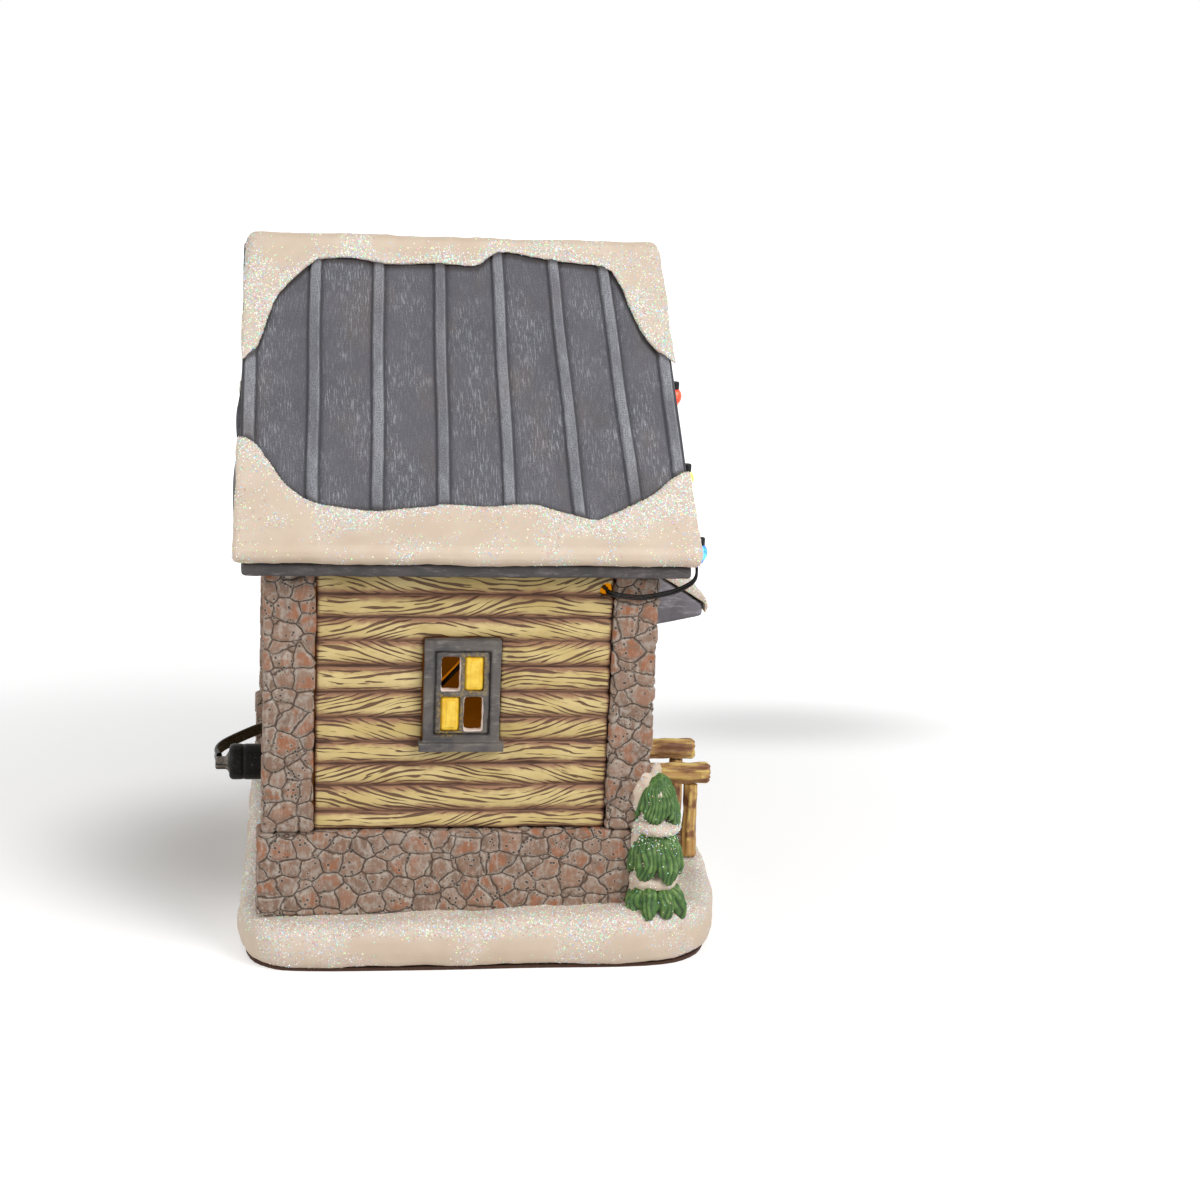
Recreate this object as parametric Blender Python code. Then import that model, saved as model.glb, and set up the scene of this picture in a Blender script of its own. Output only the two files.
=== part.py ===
"""A lit village lodge: a hollow ceramic house with log walls, stone corners and a snowy roof.

The side wall and one roof slope face -X, the porch faces -Y, and the power lead leaves the back at +Y.
All sizes are in millimetres until a mesh is made, which is in metres.
"""
import math

import bmesh
import bpy
from mathutils import Matrix, Vector

MM = 0.001
GAP = 0.3  # clearance between pieces that touch
SHIFT_Y = 10.0  # from the middle of the walls, which y is measured from, to the middle of the footprint
LIFT_Z = 1.2  # from the surface that the base stands on up to the height that z is measured from

# Footprint and heights
PILLAR_X = 75.0
BACK_Y = 55.6
FRONT_Y = -55.5
BACK_WALL_Y = 50.5  # the back wall stands in from its corners, which leaves room for the lead
BASE_TOP = 12.5
FELT_TOP = -0.3
FOUNDATION_TOP = 37.5
FOUNDATION_BACK_Y = 57.0
WALL_THICK = 5.0
LOG_FACE_X = 73.4
LOG_FACE_FRONT_Y = -54.1

# Roof
EAVE_X = 82.6
EAVE_Z = 120.8
RIDGE_Z = 197.6
DECK_THICK = 4.0
# Where the deck and the snow end, at the eave and at the ridge: the roof narrows towards the ridge
ROOF_BACK = (63.2, 60.7)
ROOF_FRONT = (-64.4, -63.0)
SNOW_BACK = (64.3, 61.2)
SNOW_FRONT = (-65.4, -64.1)
RIB_WIDTH = 3.2
RIB_HEIGHT = 1.1
SNOW_DEPTH = 1.8
EAVE_SNOW_DEPTH = 3.2

# Porch, which stands left of the middle
PORCH_X = -14.8
PORCH_LEFT = -33.0
PORCH_RIGHT = 30.0
DECK_Z = 20.5
DOOR_TOP = 76.0
DOORWAY_HALF = 13.2
FRAME_FRONT_Y = -57.0
RAIL_RADIUS = 3.2
RAIL_Z = 39.4
RAIL_OFFSET = 12.9
RAIL_END_Y = -82.4

# Lamps on the front gable: distance from the middle, place along the ridge, colour
WIRE_Y = -62.6
LAMPS = ((72.4, -66.9, "lamp_blue"), (53.4, -65.6, "lamp_yellow"), (31.2, -65.0, "lamp_red"),
         (9.0, -65.0, "lamp_green"))
LAMP_DROP = 10.3  # from the deck's top down to the middle of a lamp

# Pine, against the front left corner
PINE_CENTRE = (-75.6, -58.4)
# One skirt of boughs: share of its height, share of its radius, depth of the notches between boughs
PINE_SKIRT = ((0.0, 0.86, 0.10), (0.28, 1.0, 0.16), (0.6, 0.86, 0.14), (1.0, 0.58, 0.06))

# Power plug and lead
PLUG_X = -32.0
PLUG_Z = 45.2
PLUG_RADIUS = 5.4
PLUG_END_Y = 65.1
LEAD_RADIUS = 1.7
LEAD_PITCH = 4.3  # from one turn of the coil to the next
LEAD_SIDE_X = 98.5
COIL_FLOOR_Z = 1.7
COIL_OUTER = 23.7
COIL_CENTRE = (LEAD_SIDE_X + COIL_OUTER, 14.0)
COIL_LAYERS = 4
COIL_TURNS_A_LAYER = 2.625
COIL_STEPS = 24

SLOPE = math.atan2(RIDGE_Z - EAVE_Z, EAVE_X)
SLOPE_LENGTH = math.hypot(RIDGE_Z - EAVE_Z, EAVE_X)

# The heights of the joints between the side wall's logs
LOG_JOINTS = (37.8, 43.1, 50.8, 57.3, 63.8, 70.9, 78.3, 85.8, 93.2, 100.0, 106.7, 114.0, 121.5, 129.0)

# Each rib's place along the roof, at the top and at the eave, front and back edges left out
RIBS = ((59.4, 60.0), (40.3, 42.8), (21.6, 24.9), (3.5, 6.3), (-13.8, -12.4), (-30.4, -32.3),
        (-45.6, -48.8), (-61.2, -61.6))

# The lower edge of the ridge's snow and the upper edge of the eave's: along the ridge, up the slope
RIDGE_SNOW_EDGE = (
    (64.6, 63.6), (61.6, 66.4), (57.9, 69.3), (55.1, 79.0), (52.5, 90.0), (49.3, 94.5), (43.4, 102.0),
    (39.4, 105.7), (29.5, 106.1), (19.3, 104.1), (5.4, 104.7), (-7.5, 103.8), (-12.0, 108.5), (-15.5, 110.2),
    (-25.4, 108.0), (-44.1, 105.2), (-47.6, 104.1), (-50.9, 95.9), (-53.5, 85.7), (-55.2, 78.6),
    (-58.9, 73.0), (-65.6, 67.8),
)
EAVE_SNOW_EDGE = (
    (64.6, 38.9), (59.1, 37.1), (56.7, 33.3), (52.6, 26.9), (49.6, 21.5), (45.0, 17.4), (40.9, 15.1),
    (29.2, 13.7), (23.7, 13.2), (17.9, 14.1), (4.8, 15.4), (-7.7, 14.8), (-20.0, 16.1), (-29.5, 12.5),
    (-36.6, 10.3), (-46.7, 15.7), (-52.4, 18.9), (-60.6, 26.5), (-65.6, 29.1),
)

# The outline of the snowy base, seen from above, clockwise from the back left
BASE_OUTLINE = (
    (-85.0, 43.0), (-81.6, 55.0), (-70.0, 61.4), (-40.0, 61.8), (0.0, 60.0), (40.0, 59.4), (70.0, 57.6),
    (80.6, 51.0), (84.0, 40.0), (84.4, 0.0), (83.6, -46.0), (79.0, -66.0), (66.0, -76.6), (40.0, -79.6),
    (14.0, -83.6), (-14.0, -84.4), (-44.0, -81.8), (-66.0, -77.6), (-79.6, -70.6), (-85.6, -56.0),
    (-86.0, -20.0), (-86.2, 10.0),
)

MATERIALS = {
    "glazed_snow": ("E4D0BC", 0.55, 0.0),
    "slate_grey_paint": ("55565C", 0.6, 0.0),
    "dark_trim_paint": ("4B4A4F", 0.6, 0.0),
    "log_paint": ("CDB46A", 0.6, 0.0),
    "stone_paint": ("8C7768", 0.75, 0.0),
    "bare_ceramic": ("D8C4AE", 0.7, 0.0),
    "amber_pane": ("F0C83A", 0.3, 0.0),
    "rail_paint": ("8C5A3C", 0.6, 0.0),
    "door_paint": ("6E3A24", 0.55, 0.0),
    "pine_paint": ("3F6B35", 0.6, 0.0),
    "brown_felt": ("4A3226", 0.95, 0.0),
    "black_plastic": ("1C1A18", 0.4, 0.0),
    "white_plastic": ("E8E6E0", 0.45, 0.0),
    "nickel": ("B9B6AE", 0.25, 1.0),
    "lamp_red": ("FF5A3C", 0.2, 0.0),
    "lamp_yellow": ("FFD36B", 0.2, 0.0),
    "lamp_blue": ("2A50FF", 0.2, 0.0),
    "lamp_green": ("3FD06A", 0.2, 0.0),
}


def linear(channel):
    return channel / 12.92 if channel <= 0.04045 else ((channel + 0.055) / 1.055) ** 2.4


def material(name):
    """The named finish as a Principled material, made the first time it is asked for."""
    found = bpy.data.materials.get(name)
    if found:
        return found
    code, roughness, metallic = MATERIALS[name]
    made = bpy.data.materials.new(name)
    made.use_nodes = True
    shader = made.node_tree.nodes["Principled BSDF"]
    channels = [linear(int(code[i:i + 2], 16) / 255) for i in (0, 2, 4)]
    shader.inputs["Base Color"].default_value = (*channels, 1.0)
    shader.inputs["Roughness"].default_value = roughness
    shader.inputs["Metallic"].default_value = metallic
    return made


def clear_scene():
    for obj in list(bpy.data.objects):
        bpy.data.objects.remove(obj)


def place(point):
    return (Vector(point) + Vector((0.0, SHIFT_Y, LIFT_Z))) * MM


def add(name, points, faces, finish, smooth=False):
    """An object from points in millimetres, its faces turned outwards."""
    shape = bmesh.new()
    corners = [shape.verts.new(place(point)) for point in points]
    for face in faces:
        shape.faces.new([corners[i] for i in face])
    bmesh.ops.recalc_face_normals(shape, faces=shape.faces)
    mesh = bpy.data.meshes.new(name)
    shape.to_mesh(mesh)
    shape.free()
    if smooth:
        mesh.shade_smooth()
        mesh.set_sharp_from_angle(angle=math.radians(40))
    obj = bpy.data.objects.new(name, mesh)
    bpy.context.scene.collection.objects.link(obj)
    obj.data.materials.append(material(finish))
    return obj


def loft(name, loops, finish, ring=False, smooth=True):
    """A skin over loops of equally many points, capped at both ends or closed round on itself."""
    count = len(loops[0])
    points = [point for loop in loops for point in loop]
    faces = []
    for row in range(len(loops) if ring else len(loops) - 1):
        here = row * count
        there = (row + 1) % len(loops) * count
        for i in range(count):
            j = (i + 1) % count
            faces.append((here + i, here + j, there + j, there + i))
    if not ring:
        faces.append(tuple(range(count)))
        faces.append(tuple(len(points) - count + i for i in range(count)))
    return add(name, points, faces, finish, smooth)


def prism(name, outline, along, low, high, finish):
    """A flat outline drawn out along one axis. The outline's two numbers are the other axes, in order."""
    def loop(depth):
        return [[*point[:"XYZ".index(along)], depth, *point["XYZ".index(along):]] for point in outline]
    return loft(name, [loop(low), loop(high)], finish, smooth=False)


def block(name, low, high, finish, bevel=0.0, segments=2):
    outline = ((low[0], low[1]), (high[0], low[1]), (high[0], high[1]), (low[0], high[1]))
    obj = prism(name, outline, "Z", low[2], high[2], finish)
    if bevel:
        round_edges(obj, bevel, segments)
    return obj


def round_edges(obj, width, segments=2, angle=40):
    modifier = obj.modifiers.new("rounded", "BEVEL")
    modifier.width = width * MM
    modifier.segments = segments
    modifier.limit_method = "ANGLE"
    modifier.angle_limit = math.radians(angle)


def combine(obj, other, operation):
    other.hide_render = True
    other.display_type = "WIRE"
    modifier = obj.modifiers.new(operation.lower(), "BOOLEAN")
    modifier.operation = operation
    modifier.solver = "EXACT"
    modifier.object = other


def cut(obj, *cutters):
    for cutter in cutters:
        combine(obj, cutter, "DIFFERENCE")
    return obj


def join(obj, *others):
    for other in others:
        combine(obj, other, "UNION")
    return obj


def turned(name, profile, centre, axis, finish, sides=24):
    """A round piece from a profile of (distance along the axis, radius)."""
    loops = []
    for along, radius in profile:
        loop = []
        for i in range(sides):
            angle = 2 * math.pi * i / sides
            a, b = radius * math.cos(angle), radius * math.sin(angle)
            offset = {"X": (along, a, b), "Y": (a, along, b), "Z": (a, b, along)}[axis]
            loop.append([c + o for c, o in zip(centre, offset)])
        loops.append(loop)
    return loft(name, loops, finish)


def tube(name, points, radius, finish, resolution=2):
    curve = bpy.data.curves.new(name, "CURVE")
    curve.dimensions = "3D"
    curve.bevel_depth = radius * MM
    curve.bevel_resolution = resolution
    curve.use_fill_caps = True
    spline = curve.splines.new("POLY")
    spline.points.add(len(points) - 1)
    for target, point in zip(spline.points, points):
        target.co = (*place(point), 1.0)
    obj = bpy.data.objects.new(name, curve)
    bpy.context.scene.collection.objects.link(obj)
    curve.materials.append(material(finish))
    return obj


def smooth_path(points, closed=False, steps=8):
    """Points close together on a smooth curve through the given ones."""
    points = [Vector(point) for point in points]
    count = len(points)
    path = []
    for i in range(count if closed else count - 1):
        if closed:
            a, b, c, d = (points[(i + k - 1) % count] for k in range(4))
        else:
            a, b, c, d = (points[min(max(i + k - 1, 0), count - 1)] for k in range(4))
        for step in range(steps):
            t = step / steps
            path.append(0.5 * (2 * b + (c - a) * t + (2 * a - 5 * b + 4 * c - d) * t * t
                               + (3 * b - a - 3 * c + d) * t ** 3))
    if not closed:
        path.append(points[-1])
    return path


def length_of(path):
    return sum((b - a).length for a, b in zip(path, path[1:]))


def resample(path, count):
    """Equally spaced points along a path, both ends kept."""
    total = length_of(path)
    found = [path[0]]
    travelled = 0.0
    for a, b in zip(path, path[1:]):
        step = (b - a).length
        while len(found) < count - 1 and travelled + step >= total * len(found) / (count - 1):
            found.append(a.lerp(b, (total * len(found) / (count - 1) - travelled) / step))
        travelled += step
    found.append(path[-1])
    return found


# Roof geometry: y runs along the ridge, s up the slope from the eave, h out from the deck

def on_roof(side, y, s, h):
    x = EAVE_X - s * math.cos(SLOPE) + h * math.sin(SLOPE)
    return (side * x, y, EAVE_Z + s * math.sin(SLOPE) + h * math.cos(SLOPE))


def underside(x):
    """The height just below the deck, at a distance x from the middle."""
    return EAVE_Z + (EAVE_X - x) * math.tan(SLOPE) - (DECK_THICK + GAP) / math.cos(SLOPE)


def edge_at(edge, y):
    """The distance up the slope of a snow edge at a place along the ridge."""
    for (y1, s1), (y2, s2) in zip(edge, edge[1:]):
        if y2 <= y <= y1:
            return s1 + (s2 - s1) * (y1 - y) / (y1 - y2)
    return edge[0][1] if y > edge[0][0] else edge[-1][1]


def along(ends, s):
    """A value between its size at the eave and its size at the ridge."""
    return ends[0] + (ends[1] - ends[0]) * s / SLOPE_LENGTH


def narrowed(y, s):
    """A place along the eave, moved as the snow's ends move on the way up to the ridge."""
    ends = SNOW_BACK if y > 0 else SNOW_FRONT
    return y * along(ends, s) / ends[0]


def snow_edge(edge, y):
    """How far up the slope a snow edge lies on the line that starts at y on the eave."""
    s = edge_at(edge, y)
    for _ in range(4):
        s = edge_at(edge, narrowed(y, s))
    return s


def rib_y(rib, s):
    """A rib's place along the ridge: the ribs fan out a little to the eave."""
    return rib[1] + (rib[0] - rib[1]) * s / SLOPE_LENGTH


def roof_deck(name, side):
    """One slope of the roof, a slab with standing ribs where no snow lies."""
    edges = ((ROOF_BACK, -DECK_THICK), (ROOF_BACK, 0.0), (ROOF_FRONT, 0.0), (ROOF_FRONT, -DECK_THICK))
    eave = [on_roof(side, ends[0], 0.0, h) for ends, h in edges]
    ridge = [on_roof(side, ends[1], SLOPE_LENGTH + h * math.tan(SLOPE) - GAP, h) for ends, h in edges]
    deck = loft(name, [eave, ridge], "slate_grey_paint", smooth=False)
    for k, rib in enumerate(RIBS):
        low = max(edge_at(EAVE_SNOW_EDGE, rib[1] + dy) for dy in (-RIB_WIDTH, 0.0, RIB_WIDTH)) + 0.7
        high = min(edge_at(RIDGE_SNOW_EDGE, rib[0] + dy) for dy in (-RIB_WIDTH, 0.0, RIB_WIDTH)) - 0.7
        foot, top = RIB_WIDTH * 0.65, RIB_WIDTH * 0.35
        section = ((foot, -1.0), (top, RIB_HEIGHT), (-top, RIB_HEIGHT), (-foot, -1.0))
        loops = [[on_roof(side, rib_y(rib, s) + dy, s, h) for dy, h in section] for s in (low, high)]
        join(deck, loft(f"{name}_rib_{k}", loops, "slate_grey_paint", smooth=False))
    return deck


def snow_stations():
    """Places along the ridge for the snow's sections, each with its share of the full depth."""
    back, front = SNOW_BACK[0], SNOW_FRONT[0]
    stations = [(back, 0.35), (back - 0.5, 0.75), (back - 1.3, 0.94)]
    steps = 44
    first, last = back - 2.4, front + 2.4
    stations += [(first + (last - first) * i / steps, 1.0) for i in range(steps + 1)]
    return stations + [(front + 1.3, 0.94), (front + 0.5, 0.75), (front, 0.35)]


def ridge_snow(name):
    """The snow over the ridge, down both slopes to a rounded edge."""
    loops = []
    for y, share in snow_stations():
        edge = snow_edge(RIDGE_SNOW_EDGE, y)
        deep = SNOW_DEPTH * share
        crest = SLOPE_LENGTH + deep * math.tan(SLOPE)
        under = SLOPE_LENGTH + GAP * math.tan(SLOPE)
        slope = [(edge, GAP), (edge - 0.2, GAP + (deep - GAP) * 0.55), (edge + 0.5, deep * 0.94),
                 (edge + 1.4, deep), (edge + (crest - edge) * 0.5, deep), (crest - 2.2, deep + 0.7 * share)]
        left = [on_roof(-1, narrowed(y, s), s, h) for s, h in slope]
        right = [on_roof(1, narrowed(y, s), s, h) for s, h in reversed(slope)]
        high = EAVE_Z + crest * math.sin(SLOPE) + deep * math.cos(SLOPE) + 0.9 * share - 0.7
        top = (0.0, narrowed(y, crest), high)
        bottom = (0.0, narrowed(y, under), EAVE_Z + under * math.sin(SLOPE) + GAP * math.cos(SLOPE))
        loops.append([*left, top, *right, bottom])
    return loft(name, loops, "glazed_snow")


def eave_snow(name, side):
    """The snow along an eave: thin at its upper edge, a thick roll round the roof's edge."""
    loops = []
    for y, share in snow_stations():
        edge = snow_edge(EAVE_SNOW_EDGE, y)
        thin, thick = SNOW_DEPTH * share, EAVE_SNOW_DEPTH * share
        section = [(edge, GAP), (edge + 0.2, GAP + (thin - GAP) * 0.55), (edge - 0.5, thin * 0.94),
                   (edge - 1.4, thin)]
        for part in (0.66, 0.33, 0.12):
            section.append(((edge - 1.4) * part, thin + (thick - thin) * (1 - part) ** 2))
        for turn in (0, 35, 65, 90):
            section.append((-thick * math.sin(math.radians(turn)), thick * math.cos(math.radians(turn))))
        section += [(-thick * 0.86, -1.9), (-thick * 0.5, -2.7), (-GAP, -2.5), (-GAP, GAP)]
        loops.append([on_roof(side, narrowed(y, s), s, h) for s, h in section])
    return loft(name, loops, "glazed_snow")


def eave_box(name, side):
    """The boxed eave: the grey board under the snow, closed back to the wall."""
    outline = [(81.6, 113.6), (81.6, 117.2), (80.3, 117.5), (79.5, underside(79.5)),
               (PILLAR_X - 1.2, underside(PILLAR_X - 1.2)), (PILLAR_X - 1.2, 113.6)]
    obj = prism(name, [(side * x, z) for x, z in outline], "Y", -63.1, 61.8, "dark_trim_paint")
    round_edges(obj, 0.6, 1, 60)
    return obj


def barge_board(name, low_y, high_y):
    """The board under the roof's edge at a gable, bent at the ridge."""
    deep = 8.0
    foot = PILLAR_X - 2.6
    drop = deep / math.cos(SLOPE)
    outline = [(-foot, underside(foot)), (0.0, underside(0.0)), (foot, underside(foot)),
               (foot, underside(foot) - drop), (0.0, underside(0.0) - drop), (-foot, underside(foot) - drop)]
    return prism(name, outline, "Y", low_y, high_y, "dark_trim_paint")


# Walls

def log_profile(face, inner, side):
    """The section of a wall of stacked half-round logs, as (across, height) points."""
    bulge = 1.3
    outline = []
    for low, high in zip(LOG_JOINTS, LOG_JOINTS[1:]):
        for share in (0.04, 0.25, 0.5, 0.75, 0.96):
            out = face - bulge * (1 - (1 - (2 * share - 1) ** 2) ** 0.5)
            outline.append((side * out, low + (high - low) * share))
    outline.append((side * inner, LOG_JOINTS[-1]))
    outline.append((side * inner, LOG_JOINTS[0]))
    return outline


def above_roof(name):
    """All that is above the underside of the deck, to trim a wall's top."""
    tall = 60.0
    wide = 100.0
    outline = [(-wide, underside(wide)), (0.0, underside(0.0)), (wide, underside(wide)),
               (wide, underside(0.0) + tall), (-wide, underside(0.0) + tall)]
    return prism(name, outline, "Y", -90.0, 90.0, "bare_ceramic")


def side_wall(name, side):
    inner = LOG_FACE_X - WALL_THICK
    obj = prism(name, log_profile(LOG_FACE_X, inner, side), "Y", -42.4, 40.9, "log_paint")
    corner, opposite = (side * 66 - 15, -11.2, 63.7), (side * 66 + 15, 11.0, 94.6)
    window_hole = block(name + "_hole", corner, opposite, "log_paint")
    return cut(obj, above_roof(name + "_trim"), window_hole)


def gable_wall(name, face, inner, back):
    """An end wall: logs up to the roof, between the corner pillars."""
    half = 63.6
    rows = [low for low in LOG_JOINTS]
    while rows[-1] < RIDGE_Z:
        rows.append(rows[-1] + 7.4)
    sign = 1 if back else -1
    outline = []
    for low, high in zip(rows, rows[1:]):
        for share in (0.05, 0.5, 0.95):
            out = abs(face) - 1.2 * (2 * share - 1) ** 2
            outline.append((sign * out, low + (high - low) * share))
    outline.append((inner, rows[-1]))
    outline.append((inner, rows[0]))
    obj = prism(name, outline, "X", -half, half, "log_paint")
    return cut(obj, above_roof(name + "_trim"))


def pillar(name, side, low_y, high_y):
    """A stone corner that runs from the foundation to the eave, battered a little at its foot."""
    flare = 0.6
    top = 113.3
    low = FOUNDATION_TOP + GAP
    inner = PILLAR_X - 11.0
    step = LOG_FACE_X
    outline = [(PILLAR_X + flare, low), (PILLAR_X, low + 30.0), (PILLAR_X, top), (step, top),
               (step, underside(step)), (inner, underside(inner)), (inner, low)]
    obj = prism(name, [(side * x, z) for x, z in outline], "Y", low_y, high_y, "stone_paint")
    round_edges(obj, 0.8, 1, 50)
    return obj


def foundation(name, low, high, flare_x=0, flare_y=0):
    """A run of the stone foundation, whose outer faces lean out to the foot."""
    lean = 0.8
    base = BASE_TOP + GAP
    x0, x1 = low[0], high[0]
    y0, y1 = low[1], high[1]
    bottom = [[x0 - lean * (flare_x < 0), y0 - lean * (flare_y < 0), base],
              [x1 + lean * (flare_x > 0), y0 - lean * (flare_y < 0), base],
              [x1 + lean * (flare_x > 0), y1 + lean * (flare_y > 0), base],
              [x0 - lean * (flare_x < 0), y1 + lean * (flare_y > 0), base]]
    top = [[x, y, FOUNDATION_TOP] for x, y in ((x0, y0), (x1, y0), (x1, y1), (x0, y1))]
    obj = loft(name, [bottom, top], "stone_paint", smooth=False)
    round_edges(obj, 0.9, 2, 50)
    return obj


# Windows

def window_frame(name, side):
    """A frame with a sill and four small lights, let into the side wall."""
    y_mid, z_low, half, tall = -0.1, 64.0, 10.8, 30.3
    inner, recess, outer = 72.2, 74.4, 76.0

    def span(name_, x0, x1, y0, y1, z0, z1):
        low, high = sorted((side * x0, side * x1))
        corner, opposite = (low, y_mid + y0, z_low + z0), (high, y_mid + y1, z_low + z1)
        return block(name_, corner, opposite, "dark_trim_paint")

    frame = span(name, inner, outer, -half, half, 0.0, tall)
    sill = span(name + "_sill", LOG_FACE_X + 0.4, outer + 1.5, -half - 1.2, half + 1.2, -2.6, 0.5)
    pocket = span(name + "_pocket", recess, outer + 5, -8.0, 7.9, 2.6, 27.1)
    lights = []
    for y0 in (-6.1, 0.5):
        for z0 in (3.4, 15.2):
            pane = f"{name}_light_{len(lights)}"
            lights.append(span(pane, inner - 3, outer + 3, y0, y0 + 5.5, z0, z0 + 10.2))
    join(frame, sill)
    cut(frame, pocket, *lights)
    return frame


def window_film(name, side):
    """The amber film behind a side window, cut away behind two of its four lights."""
    low, high = sorted((side * 70.7, side * 71.9))
    film = block(name, (low, -10.2, 65.2), (high, 9.9, 92.8), "amber_pane")
    upper = block(name + "_upper", (low - 2, -0.1, 78.7), (high + 2, 7.0, 90.4), "amber_pane")
    lower = block(name + "_lower", (low - 2, -7.4, 66.6), (high + 2, -0.5, 77.9), "amber_pane")
    return cut(film, upper, lower)


FRONT_WINDOW = (14.5, 46.0, 9.6, 29.0)  # middle, sill height, half width, height


def front_window(name):
    """A window of four lights beside the door, let into the front wall."""
    x_mid, z_low, half, tall = FRONT_WINDOW
    outside, inside = LOG_FACE_FRONT_Y - 2.0, LOG_FACE_FRONT_Y + 1.6
    corner, opposite = (x_mid - half, outside, z_low), (x_mid + half, inside, z_low + tall)
    frame = block(name, corner, opposite, "dark_trim_paint")
    sill = block(name + "_sill", (x_mid - half - 1.4, outside - 1.4, z_low - 2.4),
                 (x_mid + half + 1.4, LOG_FACE_FRONT_Y - 0.4, z_low + 0.5), "dark_trim_paint")
    join(frame, sill)
    edge, bar = 2.8, 1.4
    wide = half - edge - bar / 2
    high = (tall - 2 * edge - bar) / 2
    lights = []
    for x0 in (x_mid - bar / 2 - wide, x_mid + bar / 2):
        for z0 in (z_low + edge, z_low + edge + high + bar):
            corner, opposite = (x0, outside - 5, z0), (x0 + wide, inside + 5, z0 + high)
            lights.append(block(f"{name}_light_{len(lights)}", corner, opposite, "dark_trim_paint"))
    return cut(frame, *lights)


def front_window_hole(name):
    x_mid, z_low, half, tall = FRONT_WINDOW
    half, low, high = half + GAP, z_low - GAP, z_low + tall + GAP
    return block(name, (x_mid - half, -60.0, low), (x_mid + half, -40.0, high), "log_paint")


def front_film(name):
    x_mid, z_low, half, tall = FRONT_WINDOW
    y = LOG_FACE_FRONT_Y + 1.6 + GAP
    half, low, high = half - 1.0, z_low + 1.0, z_low + tall - 1.0
    return block(name, (x_mid - half, y, low), (x_mid + half, y + 1.2, high), "amber_pane")


# Porch

def porch_roof(name):
    """A lean-to roof over the door, thick at the wall and thin at its front edge."""
    outline = [(-54.5, 88.0), (-54.5, 106.4), (-62.0, 103.6), (-76.6, 94.6), (-76.6, 91.0), (-62.0, 88.0)]
    obj = prism(name, outline, "X", PORCH_LEFT, PORCH_RIGHT, "slate_grey_paint")
    round_edges(obj, 0.7, 2)
    return obj


def porch_snow(name):
    """The snow on the porch roof, rounded over its front edge."""
    outline = [(-64.4, 102.6), (-63.0, 104.2), (-66.0, 104.3), (-72.0, 101.2), (-77.4, 97.0), (-78.4, 93.9),
               (-77.6, 92.0), (-76.95, 92.2), (-76.95, 94.9)]
    return prism(name, outline, "X", PORCH_LEFT - 0.6, PORCH_RIGHT + 0.6, "glazed_snow")


def steps(name):
    """The porch step: a deck at the door and two steps down to the snow."""
    low = BASE_TOP + GAP
    rise = (DECK_Z - low) / 3
    outline = [(-56.4, low), (-56.4, DECK_Z)]
    for k, y in enumerate((-66.0, -72.0, -78.0)):
        outline += [(y, DECK_Z - k * rise), (y, DECK_Z - (k + 1) * rise)]
    inner = RAIL_OFFSET - RAIL_RADIUS - 0.6
    obj = prism(name, outline, "X", PORCH_X - inner, PORCH_X + inner, "stone_paint")
    round_edges(obj, 0.5, 1)
    return obj


def rail(name, x_mid):
    """A log handrail with rounded ends, from the wall out over the steps."""
    start = FRAME_FRONT_Y - GAP
    length = start - RAIL_END_Y
    profile = [(0.0, RAIL_RADIUS * 0.86), (0.7, RAIL_RADIUS), (length - 0.9, RAIL_RADIUS * 1.03),
               (length, RAIL_RADIUS * 0.8)]
    outwards = [(-distance, radius) for distance, radius in profile]
    return turned(name, outwards, (x_mid, start, RAIL_Z), "Y", "rail_paint", 16)


def rail_post(name, x_mid, y_mid):
    """A log post from the snow up to the handrail."""
    low = BASE_TOP + GAP
    top = RAIL_Z - RAIL_RADIUS - GAP
    profile = [(low, 2.8), (low + 3.0, 2.4), (low + 12.0, 2.15), (top - 3.0, 2.2), (top, 2.1)]
    return turned(name, profile, (x_mid, y_mid, 0.0), "Z", "rail_paint", 12)


def door(name):
    """The door leaf, with grooves between its four upright planks."""
    half, y_face = 9.6, -54.6
    low = DECK_Z + 2 * GAP
    leaf = block(name, (PORCH_X - half, y_face, low), (PORCH_X + half, y_face + 3.4, DOOR_TOP), "door_paint")
    for k in (-1, 0, 1):
        x = PORCH_X + k * half / 2
        corner, opposite = (x - 0.35, y_face - 1, DECK_Z + 8), (x + 0.35, y_face + 0.5, DOOR_TOP - 6)
        cut(leaf, block(f"{name}_groove_{k + 1}", corner, opposite, "door_paint"))
    return leaf


def door_frame(name):
    half, edge, top = 9.9, 3.0, DOOR_TOP + GAP
    low = DECK_Z + GAP
    outside = half + edge
    outline = [(-outside, low), (-outside, top + edge), (outside, top + edge), (outside, low),
               (half, low), (half, top), (-half, top), (-half, low)]
    return prism(name, [(PORCH_X + x, z) for x, z in outline], "Y", FRAME_FRONT_Y, -50.4, "dark_trim_paint")


# Pine

def lobed(radius, z, lobes, depth, centre, count=48, phase=0.0):
    loop = []
    for i in range(count):
        angle = 2 * math.pi * i / count
        r = radius * (1 - depth + depth * abs(math.cos(lobes * angle / 2 + phase)))
        loop.append((centre[0] + r * math.cos(angle), centre[1] + r * math.sin(angle), z))
    return loop


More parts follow.
